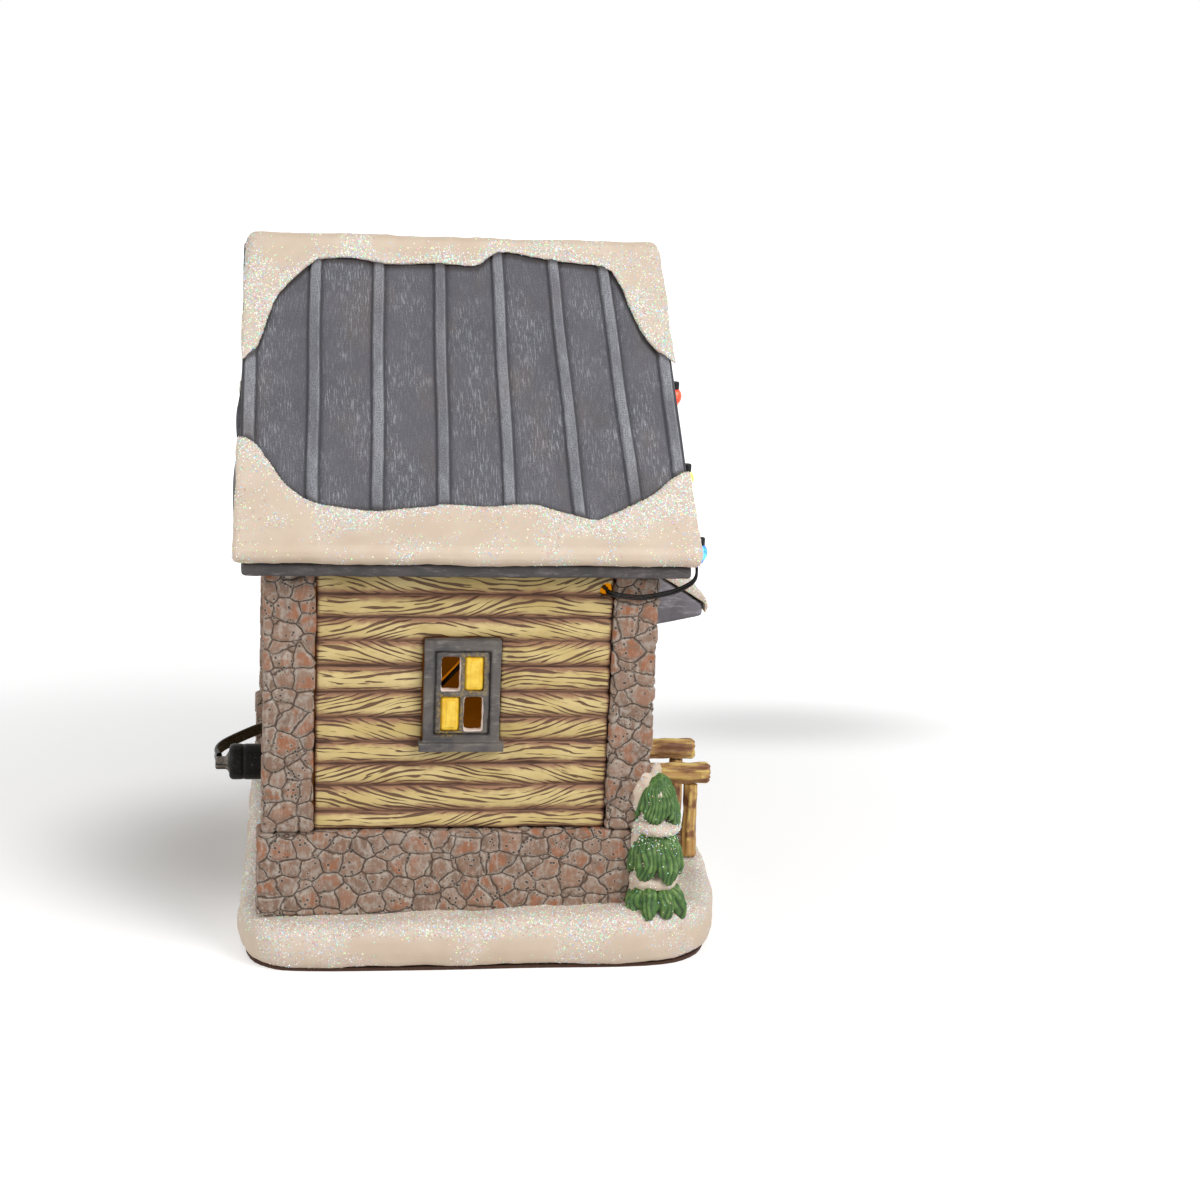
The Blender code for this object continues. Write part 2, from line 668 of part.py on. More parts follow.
def pine(name):
    """Three green skirts with drooping lobes and a snowy tip, against the front corner."""
    centre = PINE_CENTRE
    tiers = ((BASE_TOP + GAP, 23.5, 9.6), (24.0, 38.5, 8.4), (39.0, 51.5, 6.2))
    loops = []
    for k, (low, high, radius) in enumerate(tiers):
        for share, wide, depth in PINE_SKIRT:
            loops.append(lobed(radius * wide, low + (high - low) * share, 9, depth, centre, phase=k))
    for z, radius in ((52.6, 4.5), (55.6, 3.2), (57.6, 1.3)):
        loops.append(lobed(radius, z, 9, 0.05, centre, phase=2))
    obj = loft(name, loops, "pine_paint")
    low = (-PILLAR_X - 0.9, FRONT_Y - GAP, 30.0)
    corner = block(name + "_corner", low, (-50.0, -30.0, 90.0), "pine_paint")
    foot = block(name + "_foot", (-PILLAR_X - 1.2, -54.9, 0.0), (-50.0, -30.0, 45.0), "pine_paint")
    return cut(obj, corner, foot)


# Light string

def string_bulb(name, x, y, z, finish):
    """A small lamp in its cap, hanging point down."""
    profile = [(3.9, 1.1), (3.7, 1.35), (1.5, 1.35), (1.4, 1.6), (0.4, 2.2), (-1.0, 2.3), (-2.4, 1.7),
               (-3.6, 0.5)]
    return turned(name, profile, (x, y, z), "Z", finish, 12)


def wire_path():
    """From the hole in the side wall, slack round the corner, then along the front gable."""
    y = WIRE_Y
    points = [(-71.6, -40.7, 108.3), (-74.6, -40.6, 108.3), (-76.3, -42.0, 108.0), (-76.5, -45.5, 107.5),
              (-76.4, -50.0, 107.2), (-76.6, -56.0, 108.2), (-77.0, -61.0, 109.8), (-77.8, -64.6, 112.6),
              (-77.8, -65.1, 116.4), (-73.4, -64.7, underside(73.4) - 2.0)]
    peak = underside(0.0) - 3.4
    half = [(x, y, underside(x) - 2.0) for x in (66.0, 57.0, 46.0, 35.0, 23.0, 12.0)] + [(3.0, y, peak)]
    points += [(-x, y_, z) for x, y_, z in half]
    points += list(reversed(half))
    points.append((73.4, -64.7, underside(73.4) - 2.0))
    points.append((77.4, -65.0, underside(77.4) - 1.8))
    return points


# Power lead: out of the plug, into the recess of the back wall, down to the base, round it and to the coil

LEAD_ROUTE = (
    (-29.2, 68.1, 45.4), (-25.9, 68.7, 45.7), (-23.2, 68.4, 46.2), (-20.2, 66.9, 46.7), (-16.4, 64.1, 47.1),
    (-12.0, 60.9, 47.3), (-7.6, 57.9, 47.3), (-3.0, 55.2, 46.9), (1.6, 53.6, 45.9), (7.0, 53.2, 43.8),
    (14.0, 53.2, 39.6), (22.0, 53.2, 34.0), (30.0, 53.2, 27.4), (37.6, 53.4, 20.8), (45.0, 54.4, 16.6),
    (52.6, 57.4, 15.2), (60.6, 60.8, 14.6), (68.6, 62.6, 12.4), (76.6, 61.6, 9.2), (84.0, 57.8, 6.2),
    (90.4, 52.4, 4.0), (95.0, 45.4, 2.4), (97.6, 37.4, 1.8), (LEAD_SIDE_X, 30.0, COIL_FLOOR_Z),
    (LEAD_SIDE_X, 26.6, COIL_FLOOR_Z), (LEAD_SIDE_X, COIL_CENTRE[1] + 9.4, COIL_FLOOR_Z),
)


def plug_collar(name):
    """The soft collar on the plug's end, which turns the lead to the side."""
    bend, turn = 3.0, math.radians(80)
    loops = []
    upright = Vector((0.0, 0.0, 1.0))
    sides = [2 * math.pi * i / 16 for i in range(16)]
    profile = ((-0.5, 2.9), (0.0, 2.9), (0.2, 2.8), (0.4, 2.7), (0.6, 2.6), (0.8, 2.5), (1.0, 2.2))
    for share, radius in profile:
        angle = max(share, 0.0) * turn
        middle = Vector((PLUG_X + bend * (1 - math.cos(angle)), PLUG_END_Y + bend * math.sin(angle), PLUG_Z))
        middle.y += min(share, 0.0) * 2
        across = Vector((math.cos(angle), -math.sin(angle), 0.0))
        loops.append([middle + (across * math.cos(a) + upright * math.sin(a)) * radius for a in sides])
    return loft(name, loops, "black_plastic")


def coil_path():
    """A coil that spirals in and out again, climbing a layer in the half turn where it reverses."""
    x0, y0 = COIL_CENTRE
    radius = COIL_OUTER
    z = COIL_FLOOR_Z
    angle = math.pi
    points = [(x0 - radius, y0 + 9.0, z), (x0 - radius, y0 + 4.5, z)]
    for layer in range(COIL_LAYERS):
        inward = -1 if layer % 2 == 0 else 1
        climb = 0 if layer == COIL_LAYERS - 1 else COIL_STEPS // 2
        for step in range(int(COIL_TURNS_A_LAYER * COIL_STEPS) + climb):
            points.append((x0 + radius * math.cos(angle), y0 + radius * math.sin(angle), z))
            angle += 2 * math.pi / COIL_STEPS
            if step < COIL_TURNS_A_LAYER * COIL_STEPS:
                radius += inward * LEAD_PITCH / COIL_STEPS
            else:
                z += LEAD_PITCH / (COIL_STEPS // 2)
    points.append((x0 - radius, y0, z))
    for back in (6.0, 12.0, 18.0, 22.0):
        points.append((x0 - radius, y0 - back, z))
    return [Vector(point) for point in points]


def least_self_gap(path, diameter):
    """The least clear distance between two stretches of a tube that are not neighbours along it."""
    fine = resample(path, 700)
    spacing = length_of(fine) / len(fine)
    skip = int(4 * diameter / spacing) + 1
    least = 1e9
    for i in range(len(fine)):
        for j in range(i + skip, len(fine)):
            least = min(least, (fine[i] - fine[j]).length)
    return least - diameter


def coil_tie(name):
    """A soft band round the coil's turns on its far side."""
    inner = COIL_OUTER - COIL_TURNS_A_LAYER * LEAD_PITCH - LEAD_RADIUS
    outer = COIL_OUTER + LEAD_RADIUS
    top = COIL_FLOOR_Z + (COIL_LAYERS - 1) * LEAD_PITCH + LEAD_RADIUS
    bottom = COIL_FLOOR_Z - LEAD_RADIUS

    def section(room):
        corners = ((inner - room, bottom - room), (outer + room, bottom - room), (outer + room, top + room),
                   (inner - room, top + room))
        return [(COIL_CENTRE[0] + x, z) for x, z in corners]
    half = 2.6
    loops = [[(x, COIL_CENTRE[1] + y, z) for x, z in section(room)]
             for room, y in ((0.5, -half), (1.1, -half), (1.1, half), (0.5, half))]
    return loft(name, loops, "black_plastic", ring=True, smooth=False)


def build_base():
    """The snowy base, rounded over its edge, on a felt that stands in from it."""
    outline = smooth_path([(*point, 0.0) for point in BASE_OUTLINE], closed=True, steps=4)
    middle = Vector((0.0, -SHIFT_Y, 0.0))

    def loop(inset, z):
        points = [middle + (point - middle) * (1 - inset / (point - middle).length) for point in outline]
        return [(point.x, point.y, z) for point in points]
    loft("base_felt", [loop(3.2, -LIFT_Z), loop(3.2, FELT_TOP)], "brown_felt", smooth=False)
    low = FELT_TOP + GAP
    loft("snow_base", [loop(2.6, low), loop(0.9, low + 1.4), loop(0.0, 5.0), loop(0.6, 8.6), loop(2.4, 11.2),
                       loop(5.2, 12.3), loop(9.0, BASE_TOP)], "glazed_snow")


def build_foundation():
    deep = 10.0
    front = -53.4
    foundation("foundation_left", (-PILLAR_X, front), (-PILLAR_X + deep, FOUNDATION_BACK_Y), flare_x=-1)
    foundation("foundation_right", (PILLAR_X - deep, front), (PILLAR_X, FOUNDATION_BACK_Y), flare_x=1)
    inner = PILLAR_X - deep - GAP
    foundation("foundation_back", (-inner, BACK_WALL_Y - 8.0), (inner, BACK_WALL_Y))
    run = foundation("foundation_front", (-inner, front), (inner, front + 8.0))
    corner = (PORCH_X - DOORWAY_HALF, front - 5, DECK_Z - GAP)
    opposite = (PORCH_X + DOORWAY_HALF, front + 13, 50.0)
    cut(run, block("doorway", corner, opposite, "stone_paint"))


def build_walls():
    left = side_wall("log_wall_left", -1)
    side_wall("log_wall_right", 1)
    wire_hole = [(-10.0, 2.1), (10.0, 2.1)]
    cut(left, turned("wire_hole", wire_hole, (-70.0, -40.6, 108.3), "X", "bare_ceramic", 16))
    back = gable_wall("gable_wall_back", BACK_WALL_Y, BACK_WALL_Y - WALL_THICK, True)
    jack_hole = [(30.0, 6.1), (60.0, 6.1)]
    cut(back, turned("jack_hole", jack_hole, (PLUG_X, 0.0, PLUG_Z), "Y", "bare_ceramic", 24))
    front = gable_wall("gable_wall_front", LOG_FACE_FRONT_Y, LOG_FACE_FRONT_Y + WALL_THICK, False)
    corner, opposite = (PORCH_X - DOORWAY_HALF, -60.0, 15.0), (PORCH_X + DOORWAY_HALF, -40.0, DOOR_TOP + 3.6)
    doorway = block("door_hole", corner, opposite, "log_paint")
    cut(front, doorway, front_window_hole("front_window_hole"))
    pillar("corner_back_left", -1, 41.2, BACK_Y)
    pillar("corner_back_right", 1, 41.2, BACK_Y)
    pillar("corner_front_left", -1, FRONT_Y, -42.7)
    pillar("corner_front_right", 1, FRONT_Y, -42.7)


def build_roof():
    ridge_snow("ridge_snow")
    for name, side in (("left", -1), ("right", 1)):
        roof_deck("roof_" + name, side)
        eave_snow("eave_snow_" + name, side)
        eave_box("eave_" + name, side)
    barge_board("barge_board_front", -61.6, -59.0)
    barge_board("barge_board_back", 58.0, 60.6)


def build_windows():
    for name, side in (("left", -1), ("right", 1)):
        window_frame("window_" + name, side)
        window_film("window_film_" + name, side)
    front_window("window_front")
    front_film("window_film_front")


def build_porch():
    porch_roof("porch_roof")
    porch_snow("porch_snow")
    steps("porch_steps")
    for name, side in (("left", -1), ("right", 1)):
        x_mid = PORCH_X + side * RAIL_OFFSET
        rail("rail_" + name, x_mid)
        rail_post("rail_post_" + name, x_mid, -76.8)
    door_frame("door_frame")
    door("door")
    pine("pine_tree")


def build_light_string():
    tube("light_wire", smooth_path(wire_path(), steps=3), 0.65, "black_plastic")
    for k, (x, y, colour) in enumerate([*LAMPS, *reversed(LAMPS)]):
        z = EAVE_Z + (EAVE_X - x) * math.tan(SLOPE) - LAMP_DROP
        string_bulb(f"bulb_{k + 1}", -x if k < len(LAMPS) else x, y, z, LAMPS[k % len(LAMPS)][2])


def build_inside():
    """The lamp and its holder, and the jack that the plug goes into."""
    foot = BASE_TOP + GAP
    stand = [(foot, 13.0), (foot + 3, 13.0), (foot + 3, 6.0), (34.0, 6.0)]
    turned("lamp_holder", stand, (0, 0, 0), "Z", "white_plastic", 20)
    glass = [(34.3, 3.4), (37.0, 4.4), (44.0, 6.6), (50.0, 7.4), (55.0, 6.2), (58.0, 2.4)]
    turned("lamp", glass, (0, 0, 0), "Z", "amber_pane", 16)
    middle = (PLUG_X, 0, PLUG_Z)
    jack = turned("dc_jack", [(51.2, 5.8), (40.0, 5.8)], middle, "Y", "black_plastic", 24)
    cut(jack, turned("jack_bore", [(41.5, 3.1), (70.0, 3.1)], middle, "Y", "black_plastic", 20))


def build_lead():
    """Everything that comes away with the plug, held by an empty on the plug's axis."""
    profile = [(51.6, 5.0), (52.2, PLUG_RADIUS), (60.4, PLUG_RADIUS), (60.6, 5.2), (61.2, 5.2),
               (61.4, PLUG_RADIUS), (64.0, PLUG_RADIUS), (64.8, 5.0), (PLUG_END_Y, 4.2)]
    plug = turned("dc_plug", profile, (PLUG_X, 0, PLUG_Z), "Y", "black_plastic")
    join(plug, plug_collar("plug_collar"))
    pin = turned("plug_pin", [(43.0, 2.7), (51.3, 2.7)], (PLUG_X, 0, PLUG_Z), "Y", "nickel", 16)
    route = resample(smooth_path(LEAD_ROUTE, steps=12), 50)
    coiled = coil_path()
    lead = tube("power_lead", route, LEAD_RADIUS, "black_plastic")
    coil = tube("power_lead_coil", coiled, LEAD_RADIUS, "black_plastic", 1)
    print("lead", round(length_of(route)), "mm, coil", round(length_of(coiled)), "mm, least gap in the coil",
          round(least_self_gap(coiled, 2 * LEAD_RADIUS), 2), "mm")
    x, y, z = coiled[-1]
    relief = turned("adaptor_relief", [(-GAP, 2.2), (-4.0, 2.4), (-16.0, 4.2), (-20.0, 4.4)], (x, y, z), "Y",
                    "black_plastic", 16)
    case_y = y - 20.3
    low = GAP - LIFT_Z
    corner, opposite = (x - 11.0, case_y - 38.0, low), (x + 16.0, case_y, low + 27.8)
    case = block("adaptor", corner, opposite, "black_plastic", 2.0)
    blades = []
    for k, blade_x in ((1, x - 3.9), (2, x + 8.9)):
        corner = (blade_x - 0.75, case_y - 54.0, low + 10.8)
        opposite = (blade_x + 0.75, case_y - 38.3, low + 17.0)
        blades.append(block(f"adaptor_blade_{k}", corner, opposite, "nickel"))
    axis = bpy.data.objects.new("plug_axis", None)
    axis.location = place((PLUG_X, PLUG_END_Y, PLUG_Z))
    bpy.context.scene.collection.objects.link(axis)
    for piece in (plug, pin, lead, coil, coil_tie("coil_tie"), relief, case, *blades):
        piece.parent = axis
        piece.matrix_parent_inverse = Matrix.Translation(-axis.location)


def main():
    clear_scene()
    build_base()
    build_foundation()
    build_walls()
    build_roof()
    build_windows()
    build_porch()
    build_light_string()
    build_inside()
    build_lead()


main()
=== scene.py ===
# %% [markdown]
# # A lit village lodge
# The lodge is a hollow ceramic house that was cast, carved and painted by hand. It stands on a snowy
# base, shows its log side and one roof slope, and is lit from inside through a plug-in lead.
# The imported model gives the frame: every piece below sits in the same place as its solid.
# %% The frame
import math
import random

import bpy
import numpy as np
from mathutils import Matrix, Vector, noise


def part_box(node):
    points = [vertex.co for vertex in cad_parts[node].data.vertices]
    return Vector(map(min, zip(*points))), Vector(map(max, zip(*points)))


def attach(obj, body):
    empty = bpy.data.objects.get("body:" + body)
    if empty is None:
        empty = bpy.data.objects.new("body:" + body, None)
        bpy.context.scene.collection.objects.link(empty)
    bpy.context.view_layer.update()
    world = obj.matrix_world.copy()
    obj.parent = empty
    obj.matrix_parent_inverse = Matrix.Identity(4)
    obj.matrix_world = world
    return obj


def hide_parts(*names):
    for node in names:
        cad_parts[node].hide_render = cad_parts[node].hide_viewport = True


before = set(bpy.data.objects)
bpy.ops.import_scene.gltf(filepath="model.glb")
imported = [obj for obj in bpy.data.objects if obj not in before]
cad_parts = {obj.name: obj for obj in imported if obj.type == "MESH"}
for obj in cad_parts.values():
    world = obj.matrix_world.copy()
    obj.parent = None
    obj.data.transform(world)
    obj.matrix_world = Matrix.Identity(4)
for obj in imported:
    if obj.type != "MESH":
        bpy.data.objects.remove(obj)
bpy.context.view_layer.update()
MM = 0.001
SHIFT_Y = 10.0  # the house's own zero lies this far behind the footprint's middle
LIFT_Z = 1.2  # and this far above the table


def at(x, y, z):
    """A place given in millimetres from the middle of the walls, in the frame's metres."""
    return Vector((x, y + SHIFT_Y, z + LIFT_Z)) * MM


# %% [markdown]
# ## Camera
# The picture was taken a little above the eave from 0.7 m away, with a long lens, so the side wall
# looks almost flat and the roof leans back. A camera is placed by its own place and three turns:
# the heading, the pitch downwards and a small roll.
# %% Camera
HEADING, PITCH, ROLL = -0.155, 0.235, 0.042
FOCAL_PIXELS, FRAME_PIXELS, SENSOR = 2314.391, 1200, 36.0

CAMERA_PLACE = (-702.294, 59.634, 258.007)

level_forward = Vector((math.cos(HEADING), math.sin(HEADING), 0.0))
forward = math.cos(PITCH) * level_forward - Vector((0.0, 0.0, math.sin(PITCH)))
level_right = Vector((math.sin(HEADING), -math.cos(HEADING), 0.0))
level_up = level_right.cross(forward)
right = math.cos(ROLL) * level_right + math.sin(ROLL) * level_up
up = math.cos(ROLL) * level_up - math.sin(ROLL) * level_right
camera_data = bpy.data.cameras.new("camera")
camera_data.sensor_width = SENSOR
camera_data.lens = FOCAL_PIXELS * SENSOR / FRAME_PIXELS
camera_data.clip_start = 0.01
camera = bpy.data.objects.new("camera", camera_data)
turned = Matrix((right, up, -forward)).transposed().to_4x4()
camera.matrix_world = Matrix.Translation(at(*CAMERA_PLACE)) @ turned
bpy.context.scene.collection.objects.link(camera)
bpy.context.scene.camera = camera
print("lens", round(camera_data.lens, 1), "mm")

# %% [markdown]
# ## Nodes and colours
# Every finish is written as colours in hex, as a paint chart gives them. Blender mixes light in
# linear values, so one function turns the hex into them. Another adds a node with its settings and
# links, so that each material below reads as a short recipe, one node to a line.
# %% Nodes and colours


def rgb(code):
    """A hex colour as linear red, green, blue and alpha."""
    channels = [int(code[i:i + 2], 16) / 255 for i in (0, 2, 4)]
    return (*[c / 12.92 if c <= 0.04045 else ((c + 0.055) / 1.055) ** 2.4 for c in channels], 1.0)


def fill(tree, value, socket):
    """Links a node, or one output of a node, to a socket, or sets the socket to a colour or a number."""
    if isinstance(value, bpy.types.Node):
        value = next(output for output in value.outputs if output.enabled)
    if isinstance(value, bpy.types.NodeSocket):
        tree.links.new(value, socket)
    else:
        socket.default_value = rgb(value) if isinstance(value, str) else value


def add_node(tree, kind, *values, stops=(), **named):
    """Adds a node. Values fill its sockets in order; a name with a capital is a socket, too."""
    node = tree.nodes.new(kind if "Node" in kind else "ShaderNode" + kind)
    for name, value in named.items():
        if name.islower():
            setattr(node, name, value)
    for socket, value in zip([each for each in node.inputs if each.enabled], values):
        fill(tree, value, socket)
    for name, value in named.items():
        if not name.islower():
            fill(tree, value, node.inputs[name])
    for i, (place, colour) in enumerate(stops):
        ramp = node.color_ramp.elements
        stop = ramp[i] if i < 2 else ramp.new(place)
        stop.position = place
        stop.color = rgb(colour)
    return node


def finish(name, roughness, metallic=0.0):
    """A new Principled material: the material, its node tree and its shader."""
    made = bpy.data.materials.new(name)
    made.use_nodes = True
    shader = made.node_tree.nodes["Principled BSDF"]
    shader.inputs["Roughness"].default_value = roughness
    shader.inputs["Metallic"].default_value = metallic
    return made, made.node_tree, shader


def object_place(tree, scale_mm=1.0, stretch=(1.0, 1.0, 1.0)):
    """The place on the object, divided by a size in millimetres, and stretched along its axes."""
    place = add_node(tree, "TexCoord").outputs["Object"]
    scale = [s / (scale_mm * MM) for s in stretch]
    return add_node(tree, "Mapping", place, Scale=scale)


def surface(tree, shader, colour, height=None, depth_mm=0.2, roughness=None):
    """Links a colour, a bump of a real depth and a roughness to the shader."""
    fill(tree, colour, shader.inputs["Base Color"])
    if height is not None:
        bump = add_node(tree, "Bump", Height=height, Distance=depth_mm * MM, Strength=1.0)
        fill(tree, bump, shader.inputs["Normal"])
    if roughness is not None:
        fill(tree, roughness, shader.inputs["Roughness"])


# %% [markdown]
# ## The finishes
# Ceramic paint is thin and matt. The painter lays a dark wash that stays in the grooves, then drags
# an almost dry brush with a light colour over what stands proud. Each recipe follows that order:
# body colour, wash in the low places, dry brush on the high ones.
# %% Snow glaze


def snow_glaze():
    """Warm white glaze; the glitter in it gives pin-point colours, partly painted sparkle."""
    made, tree, shader = finish("snow_glaze", roughness=0.55)
    drift = add_node(tree, "TexNoise", object_place(tree, 16.0), 1.0, 3.0, 0.55)
    share = add_node(tree, "MapRange", drift, 0.35, 0.68, interpolation_type="SMOOTHSTEP")
    body = add_node(tree, "Mix", share, "D2BDA6", "D9C6B0", data_type="RGBA")
    # Grains of glitter: where they lie thick the glaze is paler, and single ones stand out in pale colours,
    # partly as painted sparkle
    grit = add_node(tree, "TexVoronoi", object_place(tree, 0.36), 1.0)
    parts = add_node(tree, "SeparateColor", grit.outputs["Color"])
    dust = add_node(tree, "Attribute", attribute_name="glitter").outputs["Fac"]
    share = add_node(tree, "Math", dust, 0.3, operation="MULTIPLY")
    body = add_node(tree, "Mix", share, body, "EBDDD6", data_type="RGBA")
    part = add_node(tree, "Math", dust, 2.2, operation="POWER")
    thick = add_node(tree, "Math", part, 0.32, operation="MULTIPLY")
    part = add_node(tree, "Math", parts.outputs["Red"], thick, operation="ADD")
    lit = add_node(tree, "Math", part, 1.01, operation="GREATER_THAN")
    tint = add_node(tree, "ValToRGB", parts.outputs["Green"],
                    stops=((0.0, "FFFFFF"), (0.26, "B4EBD6"), (0.42, "FFFFFF"), (0.56, "E8AEBC"),
                           (0.72, "B8CCF2"), (0.84, "C9A08E"), (1.0, "FFFDE6")))
    tint.color_ramp.interpolation = "CONSTANT"
    share = add_node(tree, "Math", lit, 0.8, operation="MULTIPLY")
    colour = add_node(tree, "Mix", share, body, tint.outputs["Color"], data_type="RGBA")
    part = add_node(tree, "TexNoise", object_place(tree, 0.7), 1.0, 2.0, 0.55)
    grain = add_node(tree, "Math", part, 0.6, operation="MULTIPLY")
    surface(tree, shader, colour, add_node(tree, "Math", grain, lit, operation="ADD"), 0.12)
    return made


SNOW = snow_glaze()

# %% [markdown]
# ## The roof's grey
# The slopes are charcoal paint over cast ribs. A nearly dry brush ran down the slope and caught the
# weave of the surface. Beside the ribs lies painted shade, and along the snow the grey is darker. How
# far each point lies from a rib and from the snow is kept on the mesh, so these lines follow the shape.
# %% Slate grey roof


def roof_grey():
    """Charcoal, scuffed by a dry brush that ran down the slope, with painted shade beside the ribs and
    darker along the snow.
    """
    made, tree, shader = finish("roof_grey_dry_brushed", roughness=0.62)
    cloud = add_node(tree, "TexNoise", object_place(tree, 20.0), 1.0, 4.0, 0.55)
    share = add_node(tree, "MapRange", cloud, 0.32, 0.7, interpolation_type="SMOOTHSTEP")
    body = add_node(tree, "Mix", share, "515157", "5E5D65", data_type="RGBA")
    brown = add_node(tree, "TexNoise", object_place(tree, 26.0, (1.0, 1.7, 1.0)), 1.0, 3.0, 0.55)
    share = add_node(tree, "MapRange", brown, 0.5, 0.72, 0.0, 0.45, interpolation_type="SMOOTHSTEP")
    body = add_node(tree, "Mix", share, body, "6E6058", data_type="RGBA")
    # The stored coordinate counts steps of 2 mm across and down the slope
    along = add_node(tree, "Attribute", attribute_name="slope").outputs["Vector"]
    place = add_node(tree, "Mapping", along, Scale=(6.5, 4.6, 1.0))
    weave = add_node(tree, "TexNoise", place, 1.0, 4.0, 0.75)
    place = add_node(tree, "Mapping", along, Scale=(5.5, 0.45, 1.0))
    streak = add_node(tree, "TexNoise", place, 1.0, 6.0, 0.7)
    place = add_node(tree, "Mapping", along, Scale=(0.16, 0.07, 1.0), Location=(3.0, 1.0, 0.0))
    patch = add_node(tree, "TexNoise", place, 1.0, 4.0, 0.55)
    # The weave keeps the dark wash, then patches of dry brush lie on it as haze and as streaks
    share = add_node(tree, "MapRange", weave, 0.34, 0.5, 0.45, 0.0, interpolation_type="SMOOTHSTEP")
    body = add_node(tree, "Mix", share, body, "3F3E44", data_type="RGBA")
    part = add_node(tree, "MapRange", weave, 0.5, 0.62, interpolation_type="SMOOTHSTEP")
    other = add_node(tree, "MapRange", patch, 0.36, 0.66, 0.3, 0.6, interpolation_type="SMOOTHSTEP")
    haze = add_node(tree, "Math", part, other, operation="MULTIPLY")
    body = add_node(tree, "Mix", haze, body, "96979E", data_type="RGBA")
    part = add_node(tree, "MapRange", streak, 0.52, 0.6, interpolation_type="SMOOTHSTEP")
    other = add_node(tree, "MapRange", patch, 0.42, 0.6, 0.15, 0.8, interpolation_type="SMOOTHSTEP")
    scuff = add_node(tree, "Math", part, other, operation="MULTIPLY")
    share = add_node(tree, "Math", scuff, 0.7, operation="MULTIPLY")
    body = add_node(tree, "Mix", share, body, "B8B9BE", data_type="RGBA")
    # A rib is worn pale on its top and along its edge, and stands in a dark line of painted shade
    rib = add_node(tree, "Attribute", attribute_name="rib").outputs["Fac"]
    part = add_node(tree, "MapRange", rib, 1.35, 1.7, 1.0, 0.0, interpolation_type="SMOOTHSTEP")
    other = add_node(tree, "MapRange", weave, 0.4, 0.6, 0.1, 0.8, interpolation_type="SMOOTHSTEP")
    worn = add_node(tree, "Math", part, other, operation="MULTIPLY")
    other = add_node(tree, "MapRange", patch, 0.36, 0.6, 0.35, 1.0, interpolation_type="SMOOTHSTEP")
    share = add_node(tree, "Math", worn, other, operation="MULTIPLY")
    body = add_node(tree, "Mix", share, body, "AEAFB6", data_type="RGBA")
    part = add_node(tree, "MapRange", rib, 0.8, 1.1, interpolation_type="SMOOTHSTEP")
    other = add_node(tree, "MapRange", rib, 1.2, 1.45, interpolation_type="SMOOTHSTEP")
    edge = add_node(tree, "Math", part, other, operation="SUBTRACT")
    other = add_node(tree, "MapRange", streak, 0.4, 0.6, 0.1, 0.6, interpolation_type="SMOOTHSTEP")
    share = add_node(tree, "Math", edge, other, operation="MULTIPLY")
    body = add_node(tree, "Mix", share, body, "B0B1B6", data_type="RGBA")
    part = add_node(tree, "MapRange", rib, 1.45, 1.75, interpolation_type="SMOOTHSTEP")
    other = add_node(tree, "MapRange", rib, 1.95, 2.6, interpolation_type="SMOOTHSTEP")
    shade = add_node(tree, "Math", part, other, operation="SUBTRACT")
    share = add_node(tree, "Math", shade, 0.75, operation="MULTIPLY")
    body = add_node(tree, "Mix", share, body, "302E33", data_type="RGBA")
    # Darker along the edge of the snow
    snow_line = add_node(tree, "Attribute", attribute_name="snow_line").outputs["Fac"]
    share = add_node(tree, "MapRange", snow_line, 0.4, 2.6, 0.85, 0.0, interpolation_type="SMOOTHSTEP")
    body = add_node(tree, "Mix", share, body, "38302F", data_type="RGBA")
    other = add_node(tree, "Math", weave, 1.4, operation="MULTIPLY")
    height = add_node(tree, "Math", streak, other, operation="ADD")
    surface(tree, shader, body, height, 0.16)
    return made


ROOF = roof_grey()

# %% [markdown]
# ## The stones' paint
# The fieldstones are about 6 mm across and were carved before the glaze. A pattern of cells gives
# each stone its own tint and the distance to its crack: a rust-red middle, a pale rim, a dark crack
# and a few pits. The same sizes move the mesh later, so they have names.
# %% Stone paint
STONE_MM = 5.9
STONE_STRETCH = (1.0, 0.92, 1.08)
STONE_WARP = 0.45


